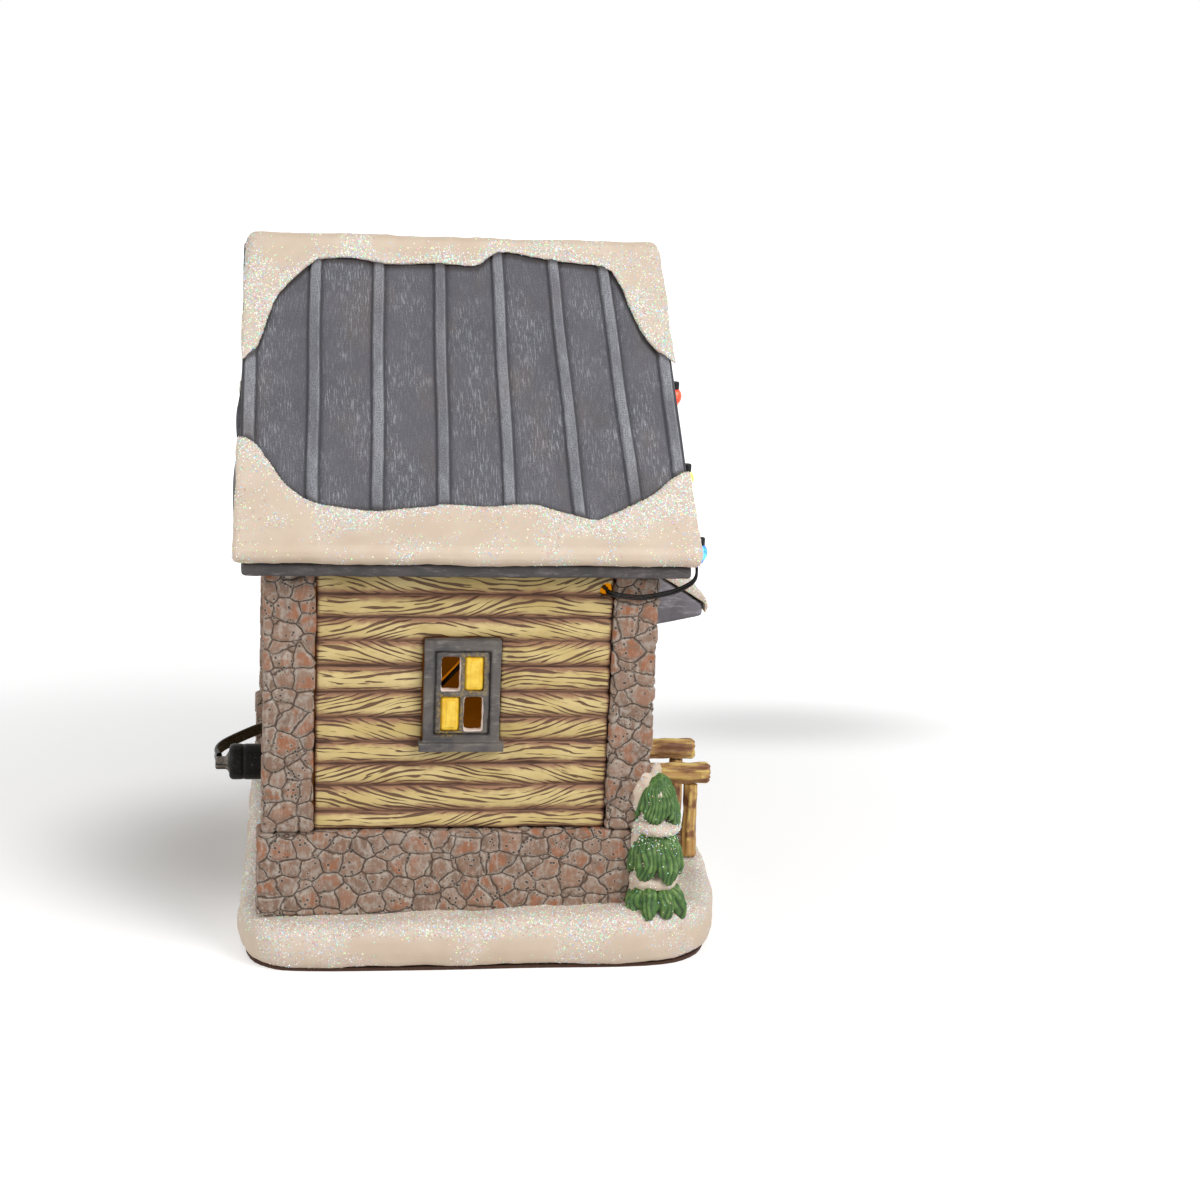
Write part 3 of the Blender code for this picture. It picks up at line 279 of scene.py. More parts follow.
def stone_paint():
    """Grey-brown stones with rust-red middles, a pale rim and a dark crack round each."""
    made, tree, shader = finish("stone_paint", roughness=0.8)
    place = object_place(tree, STONE_MM, STONE_STRETCH)
    warp = add_node(tree, "TexNoise", place, 1.3, 2.0).outputs["Color"]
    warp = add_node(tree, "VectorMath", warp, Scale=STONE_WARP, operation="SCALE")
    place = add_node(tree, "VectorMath", place, warp, operation="ADD")
    edge = add_node(tree, "TexVoronoi", place, 1.0, Randomness=0.85, feature="DISTANCE_TO_EDGE")
    cell = add_node(tree, "TexVoronoi", place, 1.0, Randomness=0.85)
    which = add_node(tree, "SeparateColor", cell.outputs["Color"])
    fine = add_node(tree, "TexNoise", object_place(tree, 2.0), 1.0, 5.0, 0.6)
    soft = add_node(tree, "TexNoise", object_place(tree, 4.4), 1.0, 3.0, 0.55)
    body = add_node(tree, "Mix", which.outputs["Green"], "7C6555", "957A68", data_type="RGBA")
    share = add_node(tree, "MapRange", fine, 0.46, 0.66, 0.0, 0.75, interpolation_type="SMOOTHSTEP")
    body = add_node(tree, "Mix", share, body, "ABA096", data_type="RGBA")
    # Rust-red middles
    part = add_node(tree, "MapRange", edge, 0.05, 0.2, interpolation_type="SMOOTHSTEP")
    other = add_node(tree, "MapRange", soft, 0.36, 0.58, interpolation_type="SMOOTHSTEP")
    rust = add_node(tree, "Math", part, other, operation="MULTIPLY")
    other = add_node(tree, "MapRange", which.outputs["Red"], 0.1, 0.9, 0.1, 0.75,
                     interpolation_type="SMOOTHSTEP")
    share = add_node(tree, "Math", rust, other, operation="MULTIPLY")
    body = add_node(tree, "Mix", share, body, "A05E36", data_type="RGBA")
    # A pale dry brush over the whole stone, and a paler band along its rim
    brushed = add_node(tree, "TexNoise", object_place(tree, 1.5, (1.0, 1.0, 0.3)), 1.0, 4.0, 0.7)
    share = add_node(tree, "MapRange", brushed, 0.5, 0.66, 0.0, 0.55, interpolation_type="SMOOTHSTEP")
    body = add_node(tree, "Mix", share, body, "B2A598", data_type="RGBA")
    part = add_node(tree, "MapRange", edge, 0.03, 0.06, interpolation_type="SMOOTHSTEP")
    other = add_node(tree, "MapRange", edge, 0.09, 0.14, interpolation_type="SMOOTHSTEP")
    rim = add_node(tree, "Math", part, other, operation="SUBTRACT")
    other = add_node(tree, "MapRange", brushed, 0.42, 0.6, 0.0, 0.75, interpolation_type="SMOOTHSTEP")
    rim = add_node(tree, "Math", rim, other, operation="MULTIPLY")
    body = add_node(tree, "Mix", rim, body, "B5A99C", data_type="RGBA")
    # The crack round each stone
    part = add_node(tree, "MapRange", edge, 0.004, 0.04, 1.0, 0.0, interpolation_type="SMOOTHSTEP")
    other = add_node(tree, "MapRange", soft, 0.3, 0.5, 0.45, 0.95, interpolation_type="SMOOTHSTEP")
    crack = add_node(tree, "Math", part, other, operation="MULTIPLY")
    body = add_node(tree, "Mix", crack, body, "46342A", data_type="RGBA")
    # A few pits with a pale halo
    pits = add_node(tree, "TexVoronoi", object_place(tree, 1.5), 1.0)
    part = add_node(tree, "TexNoise", object_place(tree, 4.2), 1.0, 2.0, 0.55)
    where = add_node(tree, "MapRange", part, 0.48, 0.54, interpolation_type="SMOOTHSTEP")
    part = add_node(tree, "MapRange", pits, 0.2, 0.3, 1.0, 0.0, interpolation_type="SMOOTHSTEP")
    pit = add_node(tree, "Math", part, where, operation="MULTIPLY")
    part = add_node(tree, "MapRange", pits, 0.34, 0.46, 1.0, 0.0, interpolation_type="SMOOTHSTEP")
    halo = add_node(tree, "Math", part, where, operation="MULTIPLY")
    share = add_node(tree, "Math", halo, 0.4, operation="MULTIPLY")
    body = add_node(tree, "Mix", share, body, "BDB1A4", data_type="RGBA")
    share = add_node(tree, "Math", pit, 0.85, operation="MULTIPLY")
    body = add_node(tree, "Mix", share, body, "372E2A", data_type="RGBA")
    part = add_node(tree, "MapRange", edge, 0.0, 0.07, interpolation_type="SMOOTHSTEP")
    other = add_node(tree, "Math", fine, 0.8, operation="MULTIPLY")
    part = add_node(tree, "Math", part, other, operation="ADD")
    other = add_node(tree, "Math", pit, 0.8, operation="MULTIPLY")
    height = add_node(tree, "Math", part, other, operation="SUBTRACT")
    surface(tree, shader, body, height, 0.35)
    return made


STONE = stone_paint()

# %% [markdown]
# ## The logs' paint
# The carver cut slanting strokes into each log, and a brown wash fills them. The strokes are a wave
# across a coordinate that is kept on the mesh, broken up by noise, so they bend with the log. A
# second stored value says how high a point lies on its log; it darkens the joints and lays painted
# shade towards them.
# %% Painted logs


def log_paint():
    """Ochre logs: dark joints with painted shade towards them, and brown wash in the slanting carved grain.
    """
    made, tree, shader = finish("log_paint", roughness=0.66)
    grain_at = add_node(tree, "Attribute", attribute_name="grain").outputs["Vector"]
    parts = add_node(tree, "SeparateXYZ", grain_at)
    place = add_node(tree, "Mapping", grain_at, Scale=(0.05, 0.22, 1.0))
    warp = add_node(tree, "TexNoise", place, 1.0, 2.0, 0.55)
    # The strokes: a wave across the grain, as wide as the noise along it allows
    part = add_node(tree, "Math", parts.outputs["Y"], 0.74, operation="MULTIPLY")
    other = add_node(tree, "Math", warp, 3.2, operation="MULTIPLY")
    phase = add_node(tree, "Math", part, other, operation="ADD")
    part = add_node(tree, "Math", phase, operation="FRACT")
    part = add_node(tree, "Math", part, 0.5, operation="SUBTRACT")
    wave = add_node(tree, "Math", part, operation="ABSOLUTE")
    place = add_node(tree, "Mapping", grain_at, Scale=(0.09, 0.62, 1.0), Location=(5.0, 9.0, 2.0))
    broken = add_node(tree, "TexNoise", place, 1.0, 2.0, 0.55)
    width = add_node(tree, "MapRange", broken, 0.36, 0.62, -0.02, 0.25, interpolation_type="SMOOTHSTEP")
    part = add_node(tree, "Math", wave, width, operation="SUBTRACT")
    carved = add_node(tree, "MapRange", part, -0.05, 0.03, 1.0, 0.0, interpolation_type="SMOOTHSTEP")
    # The ochre, painted shade smudged over each log towards its joints, the strokes and the dark joint
    tone = add_node(tree, "TexNoise", object_place(tree, 8.0, (1.0, 0.35, 1.0)), 1.0, 4.0, 0.55)
    share = add_node(tree, "MapRange", tone, 0.3, 0.7, interpolation_type="SMOOTHSTEP")
    body = add_node(tree, "Mix", share, "C6AC6C", "DDC68C", data_type="RGBA")
    crown = add_node(tree, "Attribute", attribute_name="crown").outputs["Fac"]
    place = add_node(tree, "Mapping", grain_at, Scale=(0.35, 0.8, 1.0))
    smudge = add_node(tree, "TexNoise", place, 1.0, 4.0, 0.55)
    inner = add_node(tree, "Math", smudge, 0.5, operation="SUBTRACT")
    other = add_node(tree, "Math", inner, 0.9, operation="MULTIPLY")
    low = add_node(tree, "Math", crown, other, operation="ADD")
    share = add_node(tree, "MapRange", low, 0.3, 0.95, 0.9, 0.0, interpolation_type="SMOOTHSTEP")
    body = add_node(tree, "Mix", share, body, "8F624C", data_type="RGBA")
    share = add_node(tree, "Math", carved, 0.92, operation="MULTIPLY")
    body = add_node(tree, "Mix", share, body, "543223", data_type="RGBA")
    share = add_node(tree, "MapRange", crown, 0.02, 0.22, 0.9, 0.0, interpolation_type="SMOOTHSTEP")
    body = add_node(tree, "Mix", share, body, "43281D", data_type="RGBA")
    part = add_node(tree, "Math", smudge, 0.35, operation="MULTIPLY")
    bump = add_node(tree, "Math", part, carved, operation="SUBTRACT")
    surface(tree, shader, body, bump, 0.3)
    return made


LOGS = log_paint()

# %% [markdown]
# ## Trim, wood and pine
# Boards and frames have one thin coat of dark paint whose roughness is picked out by a lighter brush.
# The rails are ochre wood with brown grain, and the pine is deep green with painted shade in its creases.
# Where a board carries painted shade round a sunk field, a golden spray or bare ceramic, the mesh says so.
# %% Trim, wood and pine


def trim_paint(name, low, high, rub):
    """Thin dark paint with a light dry brush on its roughness."""
    made, tree, shader = finish(name, roughness=0.62)
    cloud = add_node(tree, "TexNoise", object_place(tree, 7.0), 1.0, 5.0, 0.55)
    scuff = add_node(tree, "TexNoise", object_place(tree, 1.3, (1.0, 0.25, 1.0)), 1.0, 5.0, 0.7)
    share = add_node(tree, "MapRange", cloud, 0.3, 0.7, interpolation_type="SMOOTHSTEP")
    body = add_node(tree, "Mix", share, low, high, data_type="RGBA")
    share = add_node(tree, "MapRange", scuff, 0.5, 0.7, 0.0, 0.7, interpolation_type="SMOOTHSTEP")
    body = add_node(tree, "Mix", share, body, rub, data_type="RGBA")
    other = add_node(tree, "MapRange", scuff, 0.2, 0.5, 0.5, 1.0, interpolation_type="SMOOTHSTEP")
    # Painted shade: a dark line round the sunk field of a window
    line = add_node(tree, "Attribute", attribute_name="line").outputs["Fac"]
    pocket_shade_share = add_node(tree, "Math", line, other, operation="MULTIPLY")
    share = add_node(tree, "Math", pocket_shade_share, 0.65, operation="MULTIPLY")
    body = add_node(tree, "Mix", share, body, "1E1C20", data_type="RGBA")
    spray = add_node(tree, "TexNoise", object_place(tree, 0.8), 1.0, 3.0, 0.55)
    other = add_node(tree, "MapRange", spray, 0.45, 0.6, 0.0, 0.6, interpolation_type="SMOOTHSTEP")
    gold = add_node(tree, "Attribute", attribute_name="gold").outputs["Fac"]
    spray = add_node(tree, "Math", gold, other, operation="MULTIPLY")
    body = add_node(tree, "Mix", spray, body, "B8962A", data_type="RGBA")
    bare = add_node(tree, "Attribute", attribute_name="bare").outputs["Fac"]
    body = add_node(tree, "Mix", bare, body, "E3CFC0", data_type="RGBA")
    surface(tree, shader, body, scuff, 0.15)
    return made


def rail_paint():
    """Brown round wood, its carved grain rubbed with ochre."""
    made, tree, shader = finish("rail_wood_paint", roughness=0.6)
    grain = add_node(tree, "TexNoise", object_place(tree, 2.2, (1.0, 0.16, 0.45)), 1.0, 4.0, 0.6)
    share = add_node(tree, "MapRange", grain, 0.36, 0.56, interpolation_type="SMOOTHSTEP")
    body = add_node(tree, "Mix", share, "7E5236", "C29658", data_type="RGBA")
    part = add_node(tree, "MapRange", grain, 0.47, 0.58, interpolation_type="SMOOTHSTEP")
    other = add_node(tree, "Attribute", attribute_name="rubbed").outputs["Fac"]
    rubbed = add_node(tree, "Math", part, other, operation="MULTIPLY")
    body = add_node(tree, "Mix", rubbed, body, "E8CC78", data_type="RGBA")
    surface(tree, shader, body, grain, 0.5)
    return made


def pine_paint():
    """Deep green boughs with painted shade in the creases, towards the trunk and on faces turned down, and a
    yellow-green dry brush on the tips.
    """
    made, tree, shader = finish("pine_paint", roughness=0.5)
    crease = add_node(tree, "Attribute", attribute_name="crease").outputs["Fac"]
    mottle = add_node(tree, "TexNoise", object_place(tree, 2.6), 1.0, 4.0, 0.55)
    share = add_node(tree, "MapRange", mottle, 0.35, 0.7, interpolation_type="SMOOTHSTEP")
    body = add_node(tree, "Mix", share, "3E652A", "5A7E38", data_type="RGBA")
    share = add_node(tree, "MapRange", crease, 0.2, 0.72, 0.9, 0.0, interpolation_type="SMOOTHSTEP")
    body = add_node(tree, "Mix", share, body, "1E3614", data_type="RGBA")
    part = add_node(tree, "MapRange", crease, 0.75, 1.0, interpolation_type="SMOOTHSTEP")
    other = add_node(tree, "MapRange", mottle, 0.45, 0.65, interpolation_type="SMOOTHSTEP")
    tips = add_node(tree, "Math", part, other, operation="MULTIPLY")
    share = add_node(tree, "Math", tips, 0.6, operation="MULTIPLY")
    body = add_node(tree, "Mix", share, body, "93AF66", data_type="RGBA")
    surface(tree, shader, body, mottle, 0.15)
    return made


TRIM = trim_paint("fascia_grey_paint", "3E3A3B", "504B4B", "7B7574")
FRAME = trim_paint("window_frame_grey_paint", "454243", "68615B", "8A837B")
WOOD = rail_paint()
PINE = pine_paint()
print("painted finishes", len(bpy.data.materials))

# %% [markdown]
# ## Moulded, plated and lit parts
# Injection moulded plastic has an even colour and a fine spark-eroded grain, which only shows as a
# soft highlight. Plating is the same with a metallic shine. The film and the lamps are translucent,
# so they get a little light of their own in place of the light that comes through them.
# %% Moulded, plated and lit parts


def moulded(name, colour, roughness, grain_mm=0.6, metallic=0.0, depth=0.02, specular=0.5):
    """Moulded or plated parts: an even colour with a fine surface grain."""
    made, tree, shader = finish(name, roughness=roughness, metallic=metallic)
    shader.inputs["Specular IOR Level"].default_value = specular
    grain = add_node(tree, "TexNoise", object_place(tree, grain_mm), 1.0, 3.0, 0.55)
    lighter = add_node(tree, "HueSaturation", Color=rgb(colour), Value=1.35)
    share = add_node(tree, "MapRange", grain, 0.35, 0.7, 0.0, 0.5, interpolation_type="SMOOTHSTEP")
    body = add_node(tree, "Mix", share, colour, lighter, data_type="RGBA")
    sheen = add_node(tree, "MapRange", grain, 0.3, 0.7, roughness * 0.85, roughness * 1.2,
                     interpolation_type="SMOOTHSTEP")
    surface(tree, shader, body, grain, depth, sheen)
    return made


def glow(name, colour, deep, strength):
    """Translucent plastic that is lit from behind: paler where the light comes through."""
    made, tree, shader = finish(name, roughness=0.25)
    cloud = add_node(tree, "TexNoise", object_place(tree, 3.0), 1.0, 2.0, 0.55)
    share = add_node(tree, "MapRange", cloud, 0.35, 0.7, interpolation_type="SMOOTHSTEP")
    body = add_node(tree, "Mix", share, deep, colour, data_type="RGBA")
    surface(tree, shader, body)
    fill(tree, body, shader.inputs["Emission Color"])
    shader.inputs["Emission Strength"].default_value = strength
    return made


# %% [markdown]
# ## Inside and plug
# Bare ceramic inside looks brown by the lamp and bright orange at the hole that the wires leave by.
# Here that is painted lamplight: a lining glows brown by its own light, from every side. The plug is
# soft black plastic with dust in its grain and a painted grey highlight on its collar.
# %% Inside and plug
WIRE_HOLE = (-65.5, -40.6, 108.3)  # where the wires leave the room


def inner_painted_lamplight():
    """Painted lamplight inside: a brown glow, and bright orange near the wire's hole."""
    made, tree, shader = finish("inside_painted_lamplight", roughness=0.9)
    cloud = add_node(tree, "TexNoise", object_place(tree, 30.0), 1.0, 3.0, 0.55)
    share = add_node(tree, "MapRange", cloud, 0.3, 0.7, interpolation_type="SMOOTHSTEP")
    body = add_node(tree, "Mix", share, "4C2600", "5E3204", data_type="RGBA")
    # Painted lamplight: bright orange round the hole that the wires leave by
    spot = add_node(tree, "TexCoord").outputs["Object"]
    away = add_node(tree, "VectorMath", spot, tuple(at(*WIRE_HOLE)), operation="DISTANCE")
    share = add_node(tree, "MapRange", away, 0.002, 0.006, 1.0, 0.0, interpolation_type="SMOOTHSTEP")
    body = add_node(tree, "Mix", share, body, "C87800", data_type="RGBA")
    shader.inputs["Base Color"].default_value = (0.02, 0.01, 0.0, 1.0)
    fill(tree, body, shader.inputs["Emission Color"])
    shader.inputs["Emission Strength"].default_value = 1.0
    return made


PAINTED_LAMPLIGHT = inner_painted_lamplight()


def plug_plastic():
    """Black plastic with dust in its grain, and a painted grey highlight on the collar, whose slits stay
    dark.
    """
    made, tree, shader = finish("plug_black_plastic", roughness=0.42)
    shader.inputs["Specular IOR Level"].default_value = 0.18
    grain = add_node(tree, "TexNoise", object_place(tree, 0.7), 1.0, 4.0, 0.7)
    share = add_node(tree, "MapRange", grain, 0.57, 0.74, 0.0, 0.5, interpolation_type="SMOOTHSTEP")
    body = add_node(tree, "Mix", share, "070605", "7A7268", data_type="RGBA")
    # Painted highlight: the collar is greyed as if it caught the light
    share = add_node(tree, "MapRange", grain, 0.35, 0.65, interpolation_type="SMOOTHSTEP")
    worn = add_node(tree, "Mix", share, "5E574F", "8E857A", data_type="RGBA")
    collar = add_node(tree, "Attribute", attribute_name="collar").outputs["Fac"]
    share = add_node(tree, "Math", collar, 0.95, operation="MULTIPLY")
    body = add_node(tree, "Mix", share, body, worn, data_type="RGBA")
    slit = add_node(tree, "Attribute", attribute_name="slit").outputs["Fac"]
    body = add_node(tree, "Mix", slit, body, "14110F", data_type="RGBA")
    surface(tree, shader, body, grain, 0.03)
    return made


PLUG = plug_plastic()
BLACK = moulded("black_pvc", "12100F", 0.42, specular=0.25)
FELT = moulded("brown_felt", "4A3226", 0.95, 0.8, depth=0.3)
NICKEL = moulded("nickel_plate", "B9B6AE", 0.25, 1.2, 1.0)
WHITE = moulded("white_abs", "E8E6E0", 0.45)
DOOR = trim_paint("door_brown_paint", "5C301F", "7A452C", "A5703F")
AMBER = glow("amber_film", "F0C93A", "E2AE22", 0.12)
CORD = moulded("cord_vinyl", "0B0908", 0.25, 3.0, specular=0.35)
PALE_AMBER = glow("pale_amber_film", "F3D04B", "E6BA34", 0.1)
PAINTED_GLINT_WIRE = glow("wire_painted_lamp_glint", "E08A10", "C87000", 0.5)
BARE = moulded("bare_ceramic", "E8D8CC", 0.7, 1.5)
PORCH = trim_paint("porch_roof_grey_paint", "605D64", "77747B", "A5A3AA")
LAMP = glow("warm_lamp", "FFE2A0", "FFC860", 6.0)
BULBS = {
    "red": glow("red_bulb", "FF6A48", "FF3A20", 0.9),
    "yellow": glow("yellow_bulb", "FFE08A", "FFC83C", 0.9),
    "blue": glow("blue_bulb", "5BC8FF", "2A50FF", 0.9),
    "green": glow("green_bulb", "7CF09A", "2FC060", 0.9),
}
print("finishes", len(bpy.data.materials))

# %% [markdown]
# ## Working on a copy of a solid
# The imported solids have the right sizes, but cast ceramic has no sharp corners. So most pieces start
# from a merged copy of their solid, which is remeshed into small even squares. The squares round
# the edges a little, and they give the carving enough points to follow.
# %% Copies, remeshing and carving


def only(piece):
    """Makes a piece the only selected and active object."""
    bpy.ops.object.select_all(action="DESELECT")
    piece.select_set(True)
    bpy.context.view_layer.objects.active = piece
    return piece


def edit_all(piece, operator, **settings):
    """Runs one edit mode operator on every face of a piece."""
    only(piece)
    bpy.ops.object.mode_set(mode="EDIT")
    bpy.ops.mesh.select_all(action="SELECT")
    operator(**settings)
    bpy.ops.object.mode_set(mode="OBJECT")
    return piece


def copy_of(node, name):
    """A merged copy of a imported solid, without its material."""
    piece = bpy.data.objects.new(name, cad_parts[node].data.copy())
    bpy.context.scene.collection.objects.link(piece)
    piece.data.materials.clear()
    edit_all(piece, bpy.ops.mesh.remove_doubles, threshold=0.01 * MM)
    bpy.ops.mesh.customdata_custom_splitnormals_clear()
    return piece


def modify(piece, kind, **settings):
    """Adds a modifier and applies it at once."""
    only(piece)
    modifier = piece.modifiers.new(kind.lower(), kind)
    for name, value in settings.items():
        setattr(modifier, name, value)
    bpy.ops.object.modifier_apply(modifier=modifier.name)
    return piece


def remeshed(piece, cell_mm, smooth=2):
    """Even squares all over, then softened."""
    modify(piece, "REMESH", mode="VOXEL", voxel_size=cell_mm * MM, use_smooth_shade=True)
    if smooth:
        modify(piece, "SMOOTH", factor=0.5, iterations=smooth)
    return piece


def place_pieces(piece, material, body, *nodes):
    """Gives a piece its finish and ties it to its body and to the solids it stands for."""
    piece.data.materials.clear()
    piece.data.materials.append(material)
    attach(piece, body)
    if nodes:
        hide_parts(*nodes)
    return piece


# %% Points, stored values and noise


def points_of(piece):
    """The piece's points in millimetres from the middle of the walls, and their normals."""
    count = len(piece.data.vertices)
    places = np.empty(count * 3)
    normals = np.empty(count * 3)
    piece.data.vertices.foreach_get("co", places)
    piece.data.vertex_normals.foreach_get("vector", normals)
    return places.reshape(-1, 3) * 1000 - (0, SHIFT_Y, LIFT_Z), normals.reshape(-1, 3)


def set_points(piece, places):
    """Moves the piece's points to places in millimetres from the middle of the walls."""
    piece.data.vertices.foreach_set("co", ((places + (0, SHIFT_Y, LIFT_Z)) * MM).astype(np.float32).ravel())
    piece.data.update()


def store(piece, name, values):
    """Keeps one number, or one vector, for each point of the piece."""
    values = np.asarray(values, dtype=np.float32)
    if values.ndim == 1:
        piece.data.attributes.new(name, "FLOAT", "POINT").data.foreach_set("value", values)
    else:
        piece.data.attributes.new(name, "FLOAT_VECTOR", "POINT").data.foreach_set("vector", values.ravel())


def lumps(places, size_mm, seed=0.0):
    """Soft noise for every place, about -0.5 to 0.5."""
    spots = places / size_mm + (seed, 0.0, 0.0)
    return np.array([noise.noise(Vector(spot)) for spot in spots])


def swell(piece, amount_mm, size_mm, seed=0.0):
    """Pushes the surface in and out by soft noise."""
    places, normals = points_of(piece)
    set_points(piece, places + normals * (lumps(places, size_mm, seed) * 2 * amount_mm)[:, None])
    return piece


# %% New parts and softened copies


def joined(parts, name):
    """Several parts made one piece."""
    bpy.ops.object.select_all(action="DESELECT")
    for part in parts:
        part.select_set(True)
    bpy.context.view_layer.objects.active = parts[0]
    bpy.ops.object.join()
    parts[0].name = name
    return parts[0]


def box(middle, size, bevel_mm):
    """A rounded box, its place in its mesh."""
    bpy.ops.object.select_all(action="DESELECT")
    bpy.ops.mesh.primitive_cube_add(size=1.0, location=at(*middle), scale=[length * MM for length in size])
    made = bpy.context.object
    bpy.ops.object.transform_apply(location=True, rotation=True, scale=True)
    return modify(made, "BEVEL", width=bevel_mm * MM, segments=4)


def softened(node, name, material, cell_mm, body="lodge", wobble=0.12, size_mm=5.0):
    """A painted ceramic version of one solid: rounded and a little uneven."""
    piece = remeshed(copy_of(node, name), cell_mm)
    swell(piece, wobble, size_mm)
    return place_pieces(piece, material, body, node)


# %% [markdown]
# ## The power lead
# The lead is a flat twin cord. It leaves the plug's collar sideways, tucks in behind the house's corner,
# drops through the recess of the back wall and runs round the base to a coil with its tie and adaptor.
# A curve with a figure-of-eight section gives the groove between its two cores.
# %% Power lead
LEAD_MM = 3.6
LEAD_SIDE_X = 98.5
COIL_FLOOR_Z = 1.7
COIL_OUTER = 23.7
COIL_CENTRE = (LEAD_SIDE_X + COIL_OUTER, 14.0)
COIL_PITCH = 4.3
COIL_LAYERS, COIL_TURNS, COIL_STEPS = 4, 2.625, 24
LEAD_ROUTE = (
    (-29.2, 68.1, 45.4), (-25.9, 68.7, 45.7), (-23.2, 68.4, 46.2), (-20.2, 66.9, 46.7), (-16.4, 64.1, 47.1),
    (-12.0, 60.9, 47.3), (-7.6, 57.9, 47.3), (-3.0, 55.2, 46.9), (1.6, 53.6, 45.9), (7.0, 53.2, 43.8),
    (14.0, 53.2, 39.6), (22.0, 53.2, 34.0), (30.0, 53.2, 27.4), (37.6, 53.4, 20.8), (45.0, 54.4, 16.6),
    (52.6, 57.4, 15.2), (60.6, 60.8, 14.6), (68.6, 62.6, 12.4), (76.6, 61.6, 9.2), (84.0, 57.8, 6.2),
    (90.4, 52.4, 4.0), (95.0, 45.4, 2.4), (97.6, 37.4, 1.8), (LEAD_SIDE_X, 30.0, COIL_FLOOR_Z),
    (LEAD_SIDE_X, 26.6, COIL_FLOOR_Z), (LEAD_SIDE_X, COIL_CENTRE[1] + 9.4, COIL_FLOOR_Z),
)


def smooth_path(points, steps):
    """Points close together on a smooth curve through the given ones."""
    points = [Vector(point) for point in points]
    path = []
    for i in range(len(points) - 1):
        a, b, c, d = (points[min(max(i + k, 0), len(points) - 1)] for k in (-1, 0, 1, 2))
        for step in range(steps):
            t = step / steps
            path.append(0.5 * (2 * b + (c - a) * t + (2 * a - 5 * b + 4 * c - d) * t * t
                               + (3 * b - a - 3 * c + d) * t ** 3))
    return [*path, points[-1]]


# %% The coil and the twin cord


def coil_path():
    """The coil's turns, in and out again in four layers, and its straight end to the adaptor."""
    x0, y0 = COIL_CENTRE
    radius, z, angle = COIL_OUTER, COIL_FLOOR_Z, math.pi
    points = [(x0 - radius, y0 + 9.0, z), (x0 - radius, y0 + 4.5, z)]
    for layer in range(COIL_LAYERS):
        inward = -1 if layer % 2 == 0 else 1
        climb = 0 if layer == COIL_LAYERS - 1 else COIL_STEPS // 2
        for step in range(int(COIL_TURNS * COIL_STEPS) + climb):
            points.append((x0 + radius * math.cos(angle), y0 + radius * math.sin(angle), z))
            angle += 2 * math.pi / COIL_STEPS
            if step < COIL_TURNS * COIL_STEPS:
                radius += inward * COIL_PITCH / COIL_STEPS
            else:
                z += COIL_PITCH / (COIL_STEPS // 2)
    points += [(x0 - radius, y0 - back, z) for back in (0.0, 6.0, 12.0, 18.0, 22.0)]
    return [Vector(point) for point in points]


def flat_cord(name, path, width_mm):
    """A twin cord along a path: two round cores side by side with a groove between them."""
    core = width_mm / 4
    section = bpy.data.curves.new(name + "_section", "CURVE")
    ring = section.splines.new("POLY")
    corners = []
    for middle, start in ((core, -math.pi * 0.72), (-core, math.pi * 0.28)):
        for k in range(9):
            turn = start + math.pi * 1.44 * k / 8
            corners.append((core * math.sin(turn), middle + core * math.cos(turn)))
    ring.points.add(len(corners) - 1)
    for point, (x, y) in zip(ring.points, corners):
        point.co = (x * MM, y * MM, 0.0, 1.0)
    ring.use_cyclic_u = True
    profile = bpy.data.objects.new(name + "_section", section)
    bpy.context.scene.collection.objects.link(profile)
    curve = bpy.data.curves.new(name, "CURVE")
    curve.dimensions = "3D"
    curve.twist_mode = "Z_UP"
    curve.bevel_mode = "OBJECT"
    curve.bevel_object = profile
    curve.use_fill_caps = True
    spline = curve.splines.new("POLY")
    spline.points.add(len(path) - 1)
    for point, place in zip(spline.points, path):
        point.co = (*at(*place), 1.0)
    piece = bpy.data.objects.new(name, curve)
    bpy.context.scene.collection.objects.link(piece)
    only(piece)
    bpy.ops.object.convert(target="MESH")
    bpy.data.objects.remove(profile)
    edit_all(piece, bpy.ops.mesh.normals_make_consistent, inside=False)
    bpy.ops.object.shade_smooth_by_angle(angle=math.radians(50))
    return piece


lead_path = smooth_path(LEAD_ROUTE, 6) + coil_path()
lead = flat_cord("power_lead_cord", lead_path, LEAD_MM)
place_pieces(lead, CORD, "lead", "power_lead", "power_lead_coil")

# %% [markdown]
# ## The plug
# The moulded plug ends in a slimmer collar with slits, where the cord comes out. The end of the
# solid is drawn in to that size, a rounded block is added for the collar, and a remesh melts the two
# together. Where the collar and its slits lie is kept on the points, for the painted highlight on the
# collar.
# The pin, the tie and the adaptor keep their solids and only take a finish.
# %% Plug and adaptor
COLLAR_Y, COLLAR_Z = 65.2, 44.6
COLLAR_MIDDLE = (-31.4, 67.2, COLLAR_Z)
COLLAR_SHRINK = 0.55
PLUG_CELL = 0.25
SLITS = ((0.0, 0.28), (-1.2, 0.2))  # height from the collar's middle, and half width


def painted(material, *node_names):
    """Gives solids that are shown as they are their finish."""
    for node_name in node_names:
        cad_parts[node_name].data.materials.clear()
        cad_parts[node_name].data.materials.append(material)


